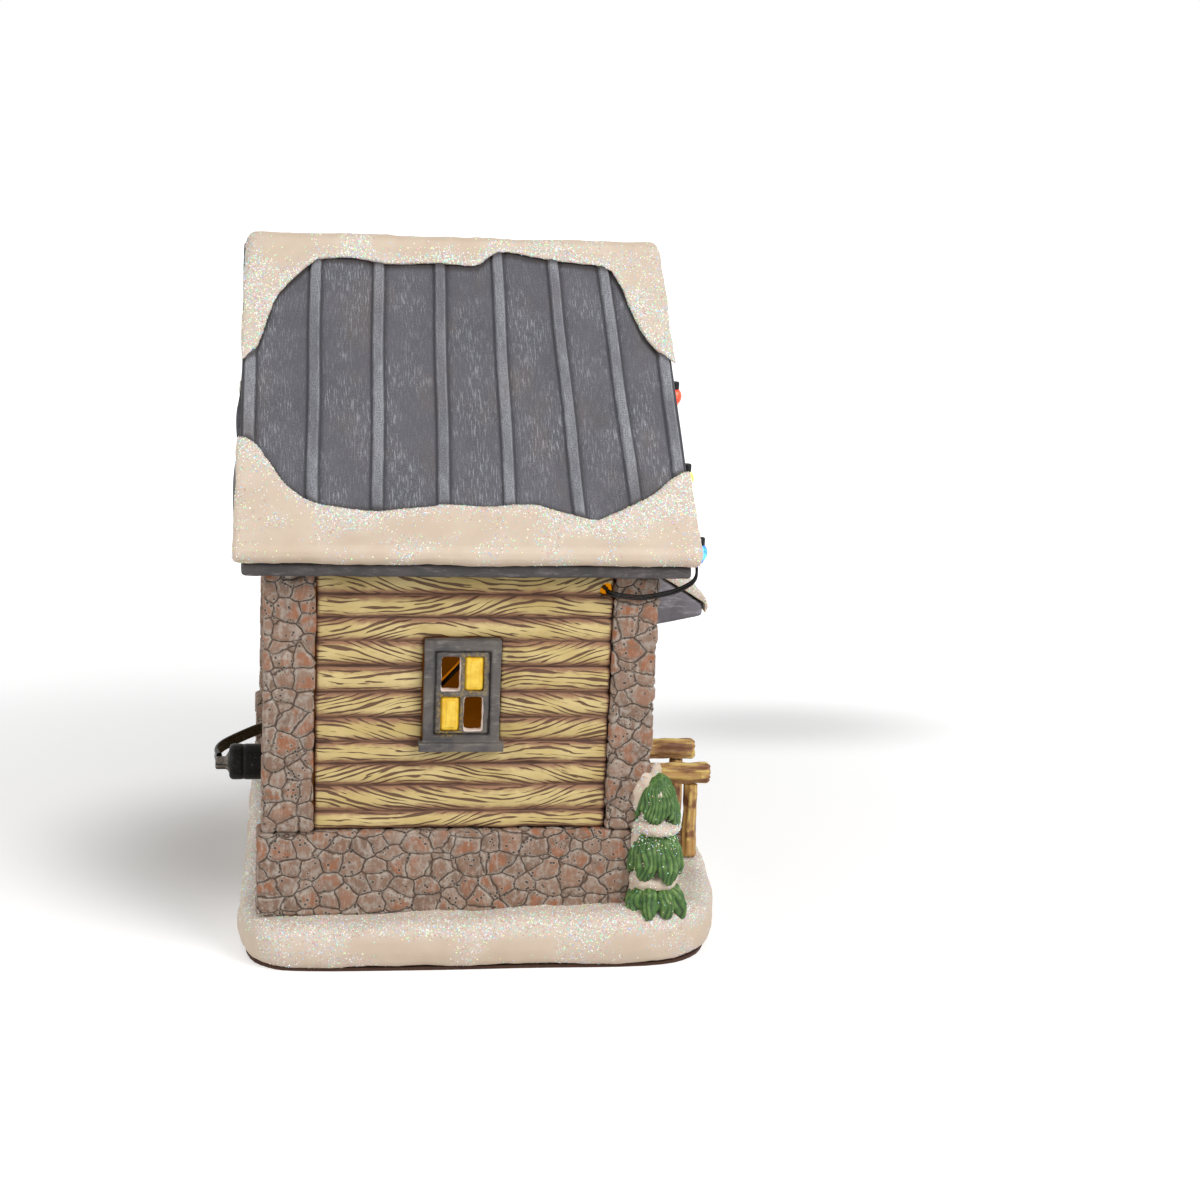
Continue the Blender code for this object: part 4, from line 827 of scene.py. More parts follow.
plug = remeshed(copy_of("dc_plug", "dc_plug_moulded"), PLUG_CELL, 2)
places, _ = points_of(plug)
beyond = places[:, 1] > COLLAR_Y + 0.3
drawn_in = COLLAR_MIDDLE + (places - COLLAR_MIDDLE) * COLLAR_SHRINK
set_points(plug, np.where(beyond[:, None], drawn_in, places))
collar = box((-31.2, 67.0, COLLAR_Z), (3.6, 4.4, 3.3), 0.5)
plug = remeshed(joined([plug, collar], "dc_plug_moulded"), PLUG_CELL, 2)
places, _ = points_of(plug)
beyond = np.clip((places[:, 1] - COLLAR_Y) / 0.4, 0.0, 1.0)
slit = sum(np.exp(-((places[:, 2] - COLLAR_Z - rise) / half) ** 2) for rise, half in SLITS)
store(plug, "collar", beyond)
store(plug, "slit", np.clip(slit, 0.0, 1.0) * beyond)
place_pieces(plug, PLUG, "lead", "dc_plug")
painted(NICKEL, "plug_pin", "adaptor_blade_1", "adaptor_blade_2")
painted(BLACK, "coil_tie", "adaptor_relief", "adaptor")
print("plug", len(plug.data.polygons), "faces")

# %% [markdown]
# ## Snow
# The snow pieces are copies of their solids. The edges of real glaze bulge softly, so each copy is
# remeshed, smoothed and swelled by noise. How much glitter lies where is kept as a number on each
# point, so that the flakes and the glaze agree.
# %% Lines of the roof and its snow
EAVE_X, EAVE_Z, RIDGE_Z = 82.6, 120.8, 197.6
SLOPE = math.atan2(RIDGE_Z - EAVE_Z, EAVE_X)
SLOPE_LENGTH = math.hypot(RIDGE_Z - EAVE_Z, EAVE_X)
DECK_THICK = 4.0
ROOF_BACK = (63.2, 60.7)  # where the deck ends, at the eave and at the ridge
ROOF_FRONT = (-64.4, -63.0)
RIBS = ((59.4, 60.0), (40.3, 42.8), (21.6, 24.9), (3.5, 6.3), (-13.8, -12.4), (-30.4, -32.3),
        (-45.6, -48.8), (-61.2, -61.6))
RIDGE_SNOW_EDGE = (
    (64.6, 63.6), (61.6, 66.4), (57.9, 69.3), (55.1, 79.0), (52.5, 90.0), (49.3, 94.5), (43.4, 102.0),
    (39.4, 105.7), (29.5, 106.1), (19.3, 104.1), (5.4, 104.7), (-7.5, 103.8), (-12.0, 108.5), (-15.5, 110.2),
    (-25.4, 108.0), (-44.1, 105.2), (-47.6, 104.1), (-50.9, 95.9), (-53.5, 85.7), (-55.2, 78.6),
    (-58.9, 73.0), (-65.6, 67.8),
)
EAVE_SNOW_EDGE = (
    (64.6, 38.9), (59.1, 37.1), (56.7, 33.3), (52.6, 26.9), (49.6, 21.5), (45.0, 17.4), (40.9, 15.1),
    (29.2, 13.7), (23.7, 13.2), (17.9, 14.1), (4.8, 15.4), (-7.7, 14.8), (-20.0, 16.1), (-29.5, 12.5),
    (-36.6, 10.3), (-46.7, 15.7), (-52.4, 18.9), (-60.6, 26.5), (-65.6, 29.1),
)
PINE_CENTRE = (-75.6, -57.9)


def edge_at(edge, y):
    """The distance up the slope of a snow edge at a place along the ridge."""
    for (y1, s1), (y2, s2) in zip(edge, edge[1:]):
        if y2 <= y <= y1:
            return s1 + (s2 - s1) * (y1 - y) / (y1 - y2)
    return edge[0][1] if y > edge[0][0] else edge[-1][1]


# %% [markdown]
# ## The snow itself
# The base's snow is piled up in front of the foundation and round the pine. On the roof it thins out
# over the gable ends. The share of glitter on each point is worked out from its distance to the
# snow's edge, where the real glitter was blown thickest.
# %% Snow on the base and the roof


def glitter_share(places, low_line):
    """Glitter is thickest in drifts, and where snow meets what stands in it."""
    drift = np.clip(lumps(places, 11.0, 4.0) * 2.4 + 0.35, 0.0, 1.0)
    return np.clip(drift * 0.6 + low_line, 0.0, 1.0)


def slope_height(places):
    """How far up the slope each point lies."""
    return (EAVE_X - np.abs(places[:, 0])) * math.cos(SLOPE) + (places[:, 2] - EAVE_Z) * math.sin(SLOPE)


snow_pieces = []
SNOW_CELLS = (("snow_base", 0.92), ("ridge_snow", 0.5), ("eave_snow_left", 0.45), ("eave_snow_right", 0.8),
              ("porch_snow", 0.5))
for node_name, cell in SNOW_CELLS:
    snow = remeshed(copy_of(node_name, node_name + "_glazed"), cell, 2)
    places, normals = points_of(snow)
    if node_name == "snow_base":
        # The snow lies higher towards the front, outside the foundation and above the foot of the base
        outside = np.clip((np.abs(places[:, 0]) - 66.0) / 8.0, 0.0, 1.0) * (places[:, 2] > 6.0)
        above_foot = np.clip((places[:, 2] - 6.0) / 6.0, 0.0, 1.0)
        drift = np.clip((34.0 - places[:, 1]) * 0.036, 0.0, 3.0) * outside * above_foot
        mound = np.hypot(places[:, 0] - PINE_CENTRE[0], places[:, 1] - PINE_CENTRE[1])
        places[:, 2] += np.maximum(drift, 4.2 * np.exp(-(mound / 9.0) ** 2) * (places[:, 2] > 8.0))
        set_points(snow, places)
        swell(snow, 0.4, 15.0, 2.0)
        share = 0.12 + 0.95 * np.clip((places[:, 2] - 7.5) / 3.5, 0.0, 1.0)
    else:
        swell(snow, 0.25, 14.0, 2.0)
        places, normals = points_of(snow)
        if node_name == "ridge_snow":
            end = np.where(places[:, 1] > 0, 61.4 - places[:, 1], 64.2 + places[:, 1])
            drop = np.clip(1.0 - end / 3.4, 0.0, 1.0) ** 2 * np.clip((places[:, 2] - 185.0) / 10.0, 0.0, 1.0)
            places[:, 2] -= 2.2 * drop
            set_points(snow, places)
            middle = np.array([edge_at(RIDGE_SNOW_EDGE, y) for y in places[:, 1]])
            away = slope_height(places) - middle
            ends = np.clip(1.2 - (64.0 - np.abs(places[:, 1])) / 14.0, 0.0, 1.0)
        elif "eave" in node_name:
            middle = np.array([edge_at(EAVE_SNOW_EDGE, y) for y in places[:, 1]])
            away = middle - slope_height(places)
            ends = np.clip(1.1 - (64.0 - np.abs(places[:, 1])) / 16.0, 0.0, 1.0) * 0.8
        else:
            away, ends = 2.0, 0.3
        share = np.clip(1.15 * np.exp(-away / 4.5) + ends * 0.7, 0.0, 1.0)
    swell(snow, 0.09, 3.2, 7.0)
    store(snow, "glitter", glitter_share(places, share * 0.9))
    place_pieces(snow, SNOW, "lodge", node_name)
    snow_pieces.append(snow)
print("snow pieces", [len(s.data.polygons) for s in snow_pieces])

# %% [markdown]
# ## Roof
# Each slope is a fine grid that is lifted into standing ribs and a little unevenness, and then given
# its thickness. The distance to the nearest rib is kept on the points, for the painted shade beside
# each rib and for the worn light edges.
# %% Roof slopes
RIB_HIGH, RIB_FOOT, RIB_FLANK = 1.15, 1.75, 0.75  # height, half width at the foot, width of a flank


def roof_slope(name, side):
    """One slope as a lifted grid with its thickness, on the left (-1) or the right (1)."""
    bpy.ops.object.select_all(action="DESELECT")
    bpy.ops.mesh.primitive_grid_add(x_subdivisions=400, y_subdivisions=76, size=1.0)
    piece = bpy.context.object
    piece.name = name
    count = len(piece.data.vertices)
    flat = np.empty(count * 3)
    piece.data.vertices.foreach_get("co", flat)
    flat = flat.reshape(-1, 3)
    s = (flat[:, 1] + 0.5) * (SLOPE_LENGTH - 0.4)
    back = ROOF_BACK[0] + (ROOF_BACK[1] - ROOF_BACK[0]) * s / SLOPE_LENGTH
    front = ROOF_FRONT[0] + (ROOF_FRONT[1] - ROOF_FRONT[0]) * s / SLOPE_LENGTH
    y = front + (flat[:, 0] + 0.5) * (back - front)
    nearest = np.full(count, 99.0)
    for top, bottom in RIBS:
        middle = bottom + (top - bottom) * s / SLOPE_LENGTH
        middle = middle + 0.12 * np.sin(s / 9.0 + bottom)
        nearest = np.minimum(nearest, np.abs(y - middle))
    rise = np.clip((RIB_FOOT - nearest) / RIB_FLANK, 0.0, 1.0)
    h = RIB_HIGH * rise * rise * (3 - 2 * rise)
    h = h - 0.25 * np.exp(-((nearest - 2.2) / 0.6) ** 2)
    rough = np.array([noise.noise(Vector((a / 7.0, b / 16.0, side * 3.0))) for a, b in zip(y, s)])
    h = h + 0.3 * rough
    ridge_line = np.array([edge_at(RIDGE_SNOW_EDGE, along) for along in y])
    eave_line = np.array([edge_at(EAVE_SNOW_EDGE, along) for along in y])
    snow_line = np.minimum(np.abs(ridge_line - s), np.abs(s - eave_line))
    x = EAVE_X - s * math.cos(SLOPE) + h * math.sin(SLOPE)
    z = EAVE_Z + s * math.sin(SLOPE) + h * math.cos(SLOPE)
    set_points(piece, np.stack((side * x, y, z), axis=1))
    store(piece, "rib", nearest)
    store(piece, "snow_line", snow_line)
    store(piece, "slope", np.stack((y * 0.5, s * 0.5, np.full(count, side * 5.0)), axis=1))
    if side < 0:
        edit_all(piece, bpy.ops.mesh.flip_normals)
    modify(piece, "SOLIDIFY", thickness=DECK_THICK * MM, offset=-1.0, use_even_offset=False)
    only(piece)
    bpy.ops.object.shade_smooth_by_angle(angle=math.radians(40))
    return piece


for name, side in (("left", -1), ("right", 1)):
    slope = roof_slope(f"roof_{name}_ribbed", side)
    place_pieces(slope, ROOF, "lodge", "roof_" + name)
    print(slope.name, len(slope.data.polygons), "faces")

# %% [markdown]
# ## Stones
# The corners and the foundation are carved as fieldstones. The pattern of cells is the same in the
# material and in the mesh: a small node group moves every point by the distance to its cell's edge,
# so the painted cracks lie in real grooves.
# %% Carved stones


def stone_group():
    """Moves each point along its normal: down in the cracks, up or down by stone."""
    tree = bpy.data.node_groups.new("stone_relief", "GeometryNodeTree")
    tree.interface.new_socket("Geometry", in_out="INPUT", socket_type="NodeSocketGeometry")
    tree.interface.new_socket("Geometry", in_out="OUTPUT", socket_type="NodeSocketGeometry")
    start = add_node(tree, "NodeGroupInput")
    place = add_node(tree, "GeometryNodeInputPosition")
    stretch = [s * 1000.0 / STONE_MM for s in STONE_STRETCH]
    place = add_node(tree, "VectorMath", place, stretch, operation="MULTIPLY")
    warp = add_node(tree, "TexNoise", place, 1.3, 2.0).outputs["Color"]
    warp = add_node(tree, "VectorMath", warp, Scale=STONE_WARP, operation="SCALE")
    place = add_node(tree, "VectorMath", place, warp, operation="ADD")
    edge = add_node(tree, "TexVoronoi", place, 1.0, Randomness=0.85, feature="DISTANCE_TO_EDGE")
    cell = add_node(tree, "TexVoronoi", place, 1.0, Randomness=0.85).outputs["Color"]
    which = add_node(tree, "FunctionNodeSeparateColor", cell).outputs["Blue"]
    dome = add_node(tree, "MapRange", edge, 0.0, 0.16, -0.45, 0.12, interpolation_type="SMOOTHSTEP")
    part = add_node(tree, "Math", which, 0.6, operation="SUBTRACT")
    lift = add_node(tree, "Math", part, 0.45, operation="MULTIPLY")
    part = add_node(tree, "Math", dome, lift, operation="ADD")
    height = add_node(tree, "Math", part, MM, operation="MULTIPLY")
    normal = add_node(tree, "GeometryNodeInputNormal")
    offset = add_node(tree, "VectorMath", normal, Scale=height, operation="SCALE")
    moved = add_node(tree, "GeometryNodeSetPosition", Geometry=start.outputs[0], Offset=offset)
    end = add_node(tree, "NodeGroupOutput")
    fill(tree, moved, end.inputs[0])
    return tree


STONES = stone_group()
STONE_NODES = (("corner_back_left", 0.38), ("corner_front_left", 0.38), ("foundation_left", 0.42),
               ("corner_back_right", 0.6), ("corner_front_right", 0.6), ("foundation_right", 0.68),
               ("foundation_back", 0.8), ("foundation_front", 0.8), ("porch_steps", 0.45))
for node_name, cell in STONE_NODES:
    stones = remeshed(copy_of(node_name, node_name + "_carved"), cell, 1)
    modify(stones, "NODES", node_group=STONES)
    place_pieces(stones, STONE, "lodge", node_name)
print("stone pieces", len(STONE_NODES))

# %% [markdown]
# ## Logs
# A log wall keeps its rounded rows. Each point stores where it lies across its log, and a grain
# coordinate that wanders up and down along the log, so the carved lines slant one way and then the
# other as the carver's gouge did.
# %% Log walls
LOG_JOINTS = [37.8, 43.1, 50.8, 57.3, 63.8, 70.9, 78.3, 85.8, 93.2, 100.0, 106.7, 114.0, 121.5, 129.0]
while LOG_JOINTS[-1] < 200.0:
    LOG_JOINTS.append(LOG_JOINTS[-1] + 7.4)
CORNER_SHADE_REACH = 1.4  # how far painted shade runs out from a stone corner onto the logs


def log_wall(node_name, along, cell):
    """One wall of carved logs that run along X (0) or Y (1)."""
    piece = remeshed(copy_of(node_name, node_name + "_carved"), cell, 1)
    places, normals = points_of(piece)
    z = places[:, 2]
    run = places[:, along]
    row = np.clip(np.searchsorted(LOG_JOINTS, z) - 1, 0, len(LOG_JOINTS) - 2)
    low = np.array(LOG_JOINTS)[row]
    high = np.array(LOG_JOINTS)[row + 1]
    wander = 0.5 * lumps(np.stack((run, row * 13.0, run * 0), axis=1), 19.0, 1.0)
    share = np.clip((z - low) / (high - low) + wander * 0.12, 0.0, 1.0)
    crown = np.clip(4 * share * (1 - share), 0.0, 1.0)
    outward = np.abs(normals[:, 1 - along]) > 0.5
    groove = np.clip(1 - crown / 0.45, 0.0, 1.0)
    places = places - normals * (groove * 0.45 * outward)[:, None]
    # Painted shade: the logs darken where they meet the stone corners
    if along == 1:
        back_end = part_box("corner_back_left")[0][1] * 1000 - SHIFT_Y
        front_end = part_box("corner_front_left")[1][1] * 1000 - SHIFT_Y
        crown = crown * np.clip(0.1 + (back_end - run) / CORNER_SHADE_REACH, 0.0, 1.0)
        crown = crown * np.clip(0.1 + (run - front_end) / CORNER_SHADE_REACH, 0.0, 1.0)
    set_points(piece, places)
    swell(piece, 0.22, 6.0, 3.0)
    slant = 5.2 * np.sin(run / 17.0 + row * 2.1) + 0.7 * np.sin(run / 6.0 + row * 4.3)
    store(piece, "crown", crown)
    store(piece, "grain", np.stack((run, z + slant, row * 7.3), axis=1))
    place_pieces(piece, LOGS, "lodge", node_name)
    return piece


WALLS = (("log_wall_left", 1, 0.49), ("log_wall_right", 1, 0.75),
         ("gable_wall_front", 0, 1.05), ("gable_wall_back", 0, 1.05))
for node_name, along, cell in WALLS:
    wall = log_wall(node_name, along, cell)
    print(wall.name, len(wall.data.polygons), "faces")

# %% [markdown]
# ## Trim, windows and door
# The boards, the window frames and the door frame are softened copies in dark grey. The amber lights
# are pressed into two of the four openings of each side window and stand almost flush.
# %% Trim and windows
for node_name, cell in (("eave_left", 0.58), ("eave_right", 0.85), ("barge_board_front", 0.7),
                        ("barge_board_back", 0.7)):
    softened(node_name, node_name + "_painted", TRIM, cell)
softened("porch_roof", "porch_roof_painted", PORCH, 0.6)
# The openings of the side windows that stay open, and the amber ones: middle y and z of each
OPEN_PLACES = ((3.15, 84.3), (-3.45, 72.5))
AMBER_PLACES = ((-3.45, 84.3), (3.15, 72.5))
LIGHT_SIZE = (5.5, 10.2)
POCKET = (-8.1, 7.8, 66.6, 91.1)  # the sunk field that the lights share: low and high y and z
POCKET_X = 74.0  # how far out its floor lies
SILL_Z = 64.5
EDGE_X = 73.1  # the middle of the bare edge round an open light


def off_box(places, low_y, high_y, low_z, high_z):
    """How far each point lies from the outline of an upright box, in mm."""
    y, z = places[:, 1], places[:, 2]
    outside = np.hypot(np.maximum(np.maximum(low_y - y, y - high_y), 0.0),
                       np.maximum(np.maximum(low_z - z, z - high_z), 0.0))
    inside = np.minimum(np.minimum(y - low_y, high_y - y), np.minimum(z - low_z, high_z - z))
    return np.where(outside > 0, outside, np.abs(inside))


def light_box(middle):
    """The low and high y, and the low and high z of a light."""
    (y, z), (wide, tall) = middle, LIGHT_SIZE
    return y - wide / 2, y + wide / 2, z - tall / 2, z + tall / 2


FRAMES = (("window_left", 0.3), ("window_right", 0.45), ("window_front", 0.45), ("door_frame", 0.6))
for node_name, cell in FRAMES:
    frame_piece = softened(node_name, node_name + "_painted", FRAME, cell, wobble=0.1, size_mm=3.0)
    if node_name in ("window_left", "window_right"):
        places, normals = points_of(frame_piece)
        # Where the painted shade round the sunk field lies
        pocket = off_box(places, *POCKET)
        store(frame_piece, "line", np.exp(-(pocket / 0.45) ** 2))
        by_amber = np.minimum(*[off_box(places, *light_box(spot)) for spot in AMBER_PLACES])
        store(frame_piece, "gold", np.clip(1 - by_amber / 1.7, 0.0, 1.0))
        front = np.abs(places[:, 0]) > POCKET_X
        by_open = np.minimum(*[off_box(places, *light_box(spot)) for spot in OPEN_PLACES])
        store(frame_piece, "bare", (by_open < 0.5) & ~front)
        # The floor of the pocket comes forward, and the sill's underside comes up
        floor_of_pocket = front & (np.abs(places[:, 0]) < POCKET_X + 1.0)
        within = (np.abs(places[:, 1] + 0.15) < 7.6) & (np.abs(places[:, 2] - 78.85) < 11.9)
        places[:, 0] += np.sign(places[:, 0]) * 0.8 * (floor_of_pocket & within)
        below_sill = places[:, 2] < SILL_Z
        places[:, 2] = np.where(below_sill, SILL_Z - (SILL_Z - places[:, 2]) * 0.8, places[:, 2])
        set_points(frame_piece, places)
        for k, spot in enumerate(OPEN_PLACES):
            side = -1 if node_name == "window_left" else 1
            edge = box((side * EDGE_X, *spot), (3.2, LIGHT_SIZE[0] + 1.6, LIGHT_SIZE[1] + 1.6), 0.4)
            hole = box((side * EDGE_X, *spot), (12.0, LIGHT_SIZE[0] - 0.2, LIGHT_SIZE[1] - 0.2), 0.8)
            modify(edge, "BOOLEAN", operation="DIFFERENCE", object=hole, solver="EXACT")
            bpy.data.objects.remove(hole)
            edge.name = f"{node_name}_edge_{k}"
            swell(remeshed(edge, 0.25, 2), 0.1, 2.0)
            place_pieces(edge, BARE, "lodge")
softened("door", "door_painted", DOOR, 0.55, wobble=0.08)


def amber_lights(name, side):
    """Two amber lights in their openings, joined to the film behind them, and a paler panel on each."""
    film = copy_of("window_film_" + name, "amber_lights_" + name)
    lights = [box((side * 73.5, y, z), (2.6, 5.4, 10.1), 0.9) for y, z in AMBER_PLACES]
    lit = remeshed(joined([film, *lights], film.name), 0.3, 2)
    place_pieces(lit, AMBER, "lodge", "window_film_" + name)
    panels = [box((side * 74.62, y - 0.2, z - 0.1), (0.7, 2.8, 8.0), 0.3) for y, z in AMBER_PLACES]
    place_pieces(remeshed(joined(panels, "amber_panels_" + name), 0.2, 2), PALE_AMBER, "lodge")


amber_lights("left", -1)
amber_lights("right", 1)
softened("window_film_front", "amber_light_front", AMBER, 0.5)

# %% [markdown]
# ## Rails and posts
# The handrails are carved as peeled logs, so their solids are remeshed finely and their grain runs
# along them. Their ends and crowns were rubbed with ochre.
# %% Rails and posts
for node_name in ("rail_left", "rail_right", "rail_post_left", "rail_post_right"):
    rail = remeshed(copy_of(node_name, node_name + "_log"), 0.32, 1)
    places, normals = points_of(rail)
    if "post" in node_name:
        turn = np.arctan2(normals[:, 1], normals[:, 0])
        ridges = np.sin(turn * 7 + 0.4 * np.sin(places[:, 2] / 3.0))
        rubbed = np.clip(ridges, 0.0, 1.0) * (places[:, 2] > 18.0)
    else:
        turn = np.arctan2(normals[:, 2], normals[:, 0])
        ridges = np.sin(turn * 8 + 0.5 * np.sin(places[:, 1] / 3.0))
        ends = (places[:, 1] < -79.5) * 1.0
        rubbed = np.clip(0.5 * ridges + 0.5 * (normals[:, 2] > 0.4) + ends, 0.0, 1.0)
    set_points(rail, places + normals * (ridges * 0.16)[:, None])
    swell(rail, 0.2, 4.0, 5.0)
    store(rail, "rubbed", rubbed)
    place_pieces(rail, WOOD, "lodge", node_name)

# %% [markdown]
# ## Pine
# The little tree is a stack of puffy boughs with snow between them. One bough is a stretched ball;
# rings of its copies overlap, and a remesh melts them together. Creases are then pressed in from
# the side, which is what makes them look like bunches of needles.
# %% Pine tree


def ball(middle, radii, turn=0.0, lean=0.0):
    """A ball stretched to three radii, leaned over and turned about the upright."""
    bpy.ops.object.select_all(action="DESELECT")
    bpy.ops.mesh.primitive_uv_sphere_add(segments=20, ring_count=12, radius=1.0)
    made = bpy.context.object
    made.data.transform(Matrix.Translation(at(*middle)) @ Matrix.Rotation(turn, 4, "Z")
                        @ Matrix.Rotation(lean, 4, "Y") @ Matrix.Diagonal((*[r * MM for r in radii], 1.0)))
    return made


# Each skirt: its lowest and highest place, its radius at the foot, how many boughs it has, how far
# out a bough's middle hangs and how far it leans, both as shares of that radius
SKIRTS = ((12.6, 22.5, 9.8, 9, 0.68, 0.42), (24.4, 38.5, 9.2, 6, 0.58, 0.5), (40.0, 55.0, 7.2, 4, 0.46, 0.8))


def pine_tree():
    """Rings of leaning boughs round a core for each skirt, melted together and creased."""
    boughs = []
    for row, (low, high, radius, count, hang, slope) in enumerate(SKIRTS):
        tall = high - low
        lean = -math.atan2(slope * radius, tall)
        for k in range(count):
            angle = 2 * math.pi * (k + 0.37 * row) / count
            reach = radius * (hang + 0.05 * math.sin(k * 2.3 + row))
            wide = 1.2 * math.pi * radius * 0.66 / count
            middle = (PINE_CENTRE[0] + reach * math.cos(angle), PINE_CENTRE[1] + reach * math.sin(angle),
                      low + tall * (0.46 + 0.06 * math.sin(k * 1.7)))
            boughs.append(ball(middle, (radius * 0.26, wide, tall * 0.52), angle, lean))
        boughs.append(ball((*PINE_CENTRE, low + tall * 0.5), (radius * 0.64, radius * 0.64, tall * 0.48)))
    tree = remeshed(joined(boughs, "pine_boughs"), 0.36, 2)
    places, normals = points_of(tree)
    angle = np.arctan2(places[:, 1] - PINE_CENTRE[1], places[:, 0] - PINE_CENTRE[0])
    wave = np.abs(np.sin(angle * 15 + 1.1 * np.sin(places[:, 2] / 2.6) + lumps(places, 5.0) * 3.0))
    side_on = np.clip(1.3 - np.abs(normals[:, 2]), 0.0, 1.0)
    set_points(tree, places + normals * ((wave - 0.75) * 0.62 * side_on)[:, None])
    swell(tree, 0.25, 2.2, 3.0)
    hollow = np.hypot(places[:, 0] - PINE_CENTRE[0], places[:, 1] - PINE_CENTRE[1]) / 9.0
    # The crease value is low in the creases, towards the trunk and on faces turned down: painted shade
    store(tree, "crease", np.clip(wave * 0.8 + hollow * 0.12 + normals[:, 2] * 0.2, 0.0, 1.0))
    store(tree, "glitter", np.clip(np.exp(-((places[:, 2] - 37.0) / 3.5) ** 2) * 1.2 + 0.12, 0.0, 1.0))
    return tree


# The drifts between the skirts: height, radius, half height and shift along Y
DRIFTS_BETWEEN = ((23.0, 7.4, 3.4, 0.4), (31.0, 5.2, 7.0, 0.4), (39.2, 7.2, 3.0, 0.2), (46.0, 4.6, 7.0, 0.4))
DRIFTS_BEHIND = ((47.0, 8.5), (35.0, 8.0), (22.0, 9.0))  # height and half height


def pine_snow():
    """The snow on the tree: a cone at its top, and drifts between its skirts and behind them."""
    drifts = []
    x, y = PINE_CENTRE
    bpy.ops.object.select_all(action="DESELECT")
    bpy.ops.mesh.primitive_cone_add(vertices=32, radius1=5.6 * MM, radius2=1.1 * MM, depth=20.0 * MM,
                                    location=at(x + 1.2, y + 1.0, 47.2))
    drifts.append(bpy.context.object)
    bpy.ops.object.transform_apply(location=True, rotation=True, scale=True)
    for z, radius, tall, shift in DRIFTS_BETWEEN:
        drifts.append(ball((x, y + shift, z), (radius, radius, tall)))
    for z, tall in DRIFTS_BEHIND:
        drifts.append(ball((x + 1.4, y + 4.0, z), (3.0, 3.6, tall)))
    snow = remeshed(joined(drifts, "pine_snow"), 0.4, 3)
    swell(snow, 0.45, 3.4, 6.0)
    places, _ = points_of(snow)
    store(snow, "glitter", glitter_share(places, 0.35))
    return snow


pine = place_pieces(pine_tree(), PINE, "lodge", "pine_tree")
pine_cap = place_pieces(pine_snow(), SNOW, "lodge")
snow_pieces += [pine_cap, pine]

# %% [markdown]
# ## Lamps on the gable
# Each lamp is a small teardrop in a black cap on a pair of thin wires, which come out of a hole in
# the side wall, hang round the corner and follow the gable.
# %% Light string
LAMPS = ((72.4, -66.9, "blue"), (53.4, -65.6, "yellow"), (31.2, -65.0, "red"), (7.6, -63.7, "green"))
LAMP_DROP = 10.3


def roof_height(x):
    """The height of the roof's underside line above a place across the house."""
    return EAVE_Z + (EAVE_X - abs(x)) * math.tan(SLOPE)


for k, (x, y, _) in enumerate([*LAMPS, *reversed(LAMPS)]):
    x = -x if k < len(LAMPS) else x
    z = roof_height(x) - LAMP_DROP
    glass = joined([ball((x, y, z - 0.6), (2.2, 2.2, 2.6)), ball((x, y, z - 2.4), (1.3, 1.3, 1.6))],
                   f"bulb_glass_{k + 1}")
    remeshed(glass, 0.25, 2)
    place_pieces(glass, BULBS[LAMPS[k % len(LAMPS)][2]], "lodge", f"bulb_{k + 1}")
    bpy.ops.object.select_all(action="DESELECT")
    bpy.ops.mesh.primitive_cylinder_add(vertices=20, radius=1.3 * MM, depth=2.5 * MM,
                                        location=at(x, y, z + 2.6))
    cap = bpy.context.object
    cap.name = f"bulb_cap_{k + 1}"
    bpy.ops.object.transform_apply(location=True, rotation=True, scale=True)
    modify(cap, "BEVEL", width=0.4 * MM, segments=3)
    bpy.ops.object.shade_smooth_by_angle(angle=math.radians(40))
    place_pieces(cap, BLACK, "lodge")


def wire(name, points, radius_mm, steps=6):
    """A thin round wire on a smooth path, made a mesh."""
    curve = bpy.data.curves.new(name, "CURVE")
    curve.dimensions = "3D"
    curve.bevel_depth = radius_mm * MM
    curve.bevel_resolution = 2
    curve.use_fill_caps = True
    path = smooth_path(points, steps)
    spline = curve.splines.new("POLY")
    spline.points.add(len(path) - 1)
    for point, place in zip(spline.points, path):
        point.co = (*at(*place), 1.0)
    piece = bpy.data.objects.new(name, curve)
    bpy.context.scene.collection.objects.link(piece)
    only(piece)
    bpy.ops.object.convert(target="MESH")
    bpy.ops.object.shade_smooth()
    return piece


def string_points(side_step, drop):
    """One strand of the pair, set off sideways and down from the string's middle."""
    under = (DECK_THICK + 0.3) / math.cos(SLOPE) + 2.0
    y = -62.6 - side_step
    points = [(-71.6, -40.7, 108.3), (-74.6, -40.6, 108.3), (-76.3, -42.0, 108.0), (-76.7, -45.5, 107.5),
              (-76.7, -50.0, 107.2), (-76.8, -56.0, 108.2), (-77.0, -61.0, 109.8), (-77.8, -64.6, 112.6),
              (-77.8, -65.1, 116.4), (-73.4, -64.7, roof_height(73.4) - under)]
    half = (3.0, 12.0, 23.0, 35.0, 46.0, 57.0, 66.0)
    for x in (*[-out for out in reversed(half)], *half):
        points.append((x, y, roof_height(max(abs(x), 4.0)) - under))
    points += [(73.4, -64.7, roof_height(73.4) - under), (77.4, -65.0, roof_height(77.4) - under)]
    return [(px, py, pz - drop) for px, py, pz in points]


STRAND_RADIUS = 0.4
strands = [wire("light_wire_a", string_points(0.2, 0.42), STRAND_RADIUS),
           wire("light_wire_b", string_points(0.0, -0.42), STRAND_RADIUS)]
place_pieces(joined(strands, "light_wires"), BLACK, "lodge", "light_wire")

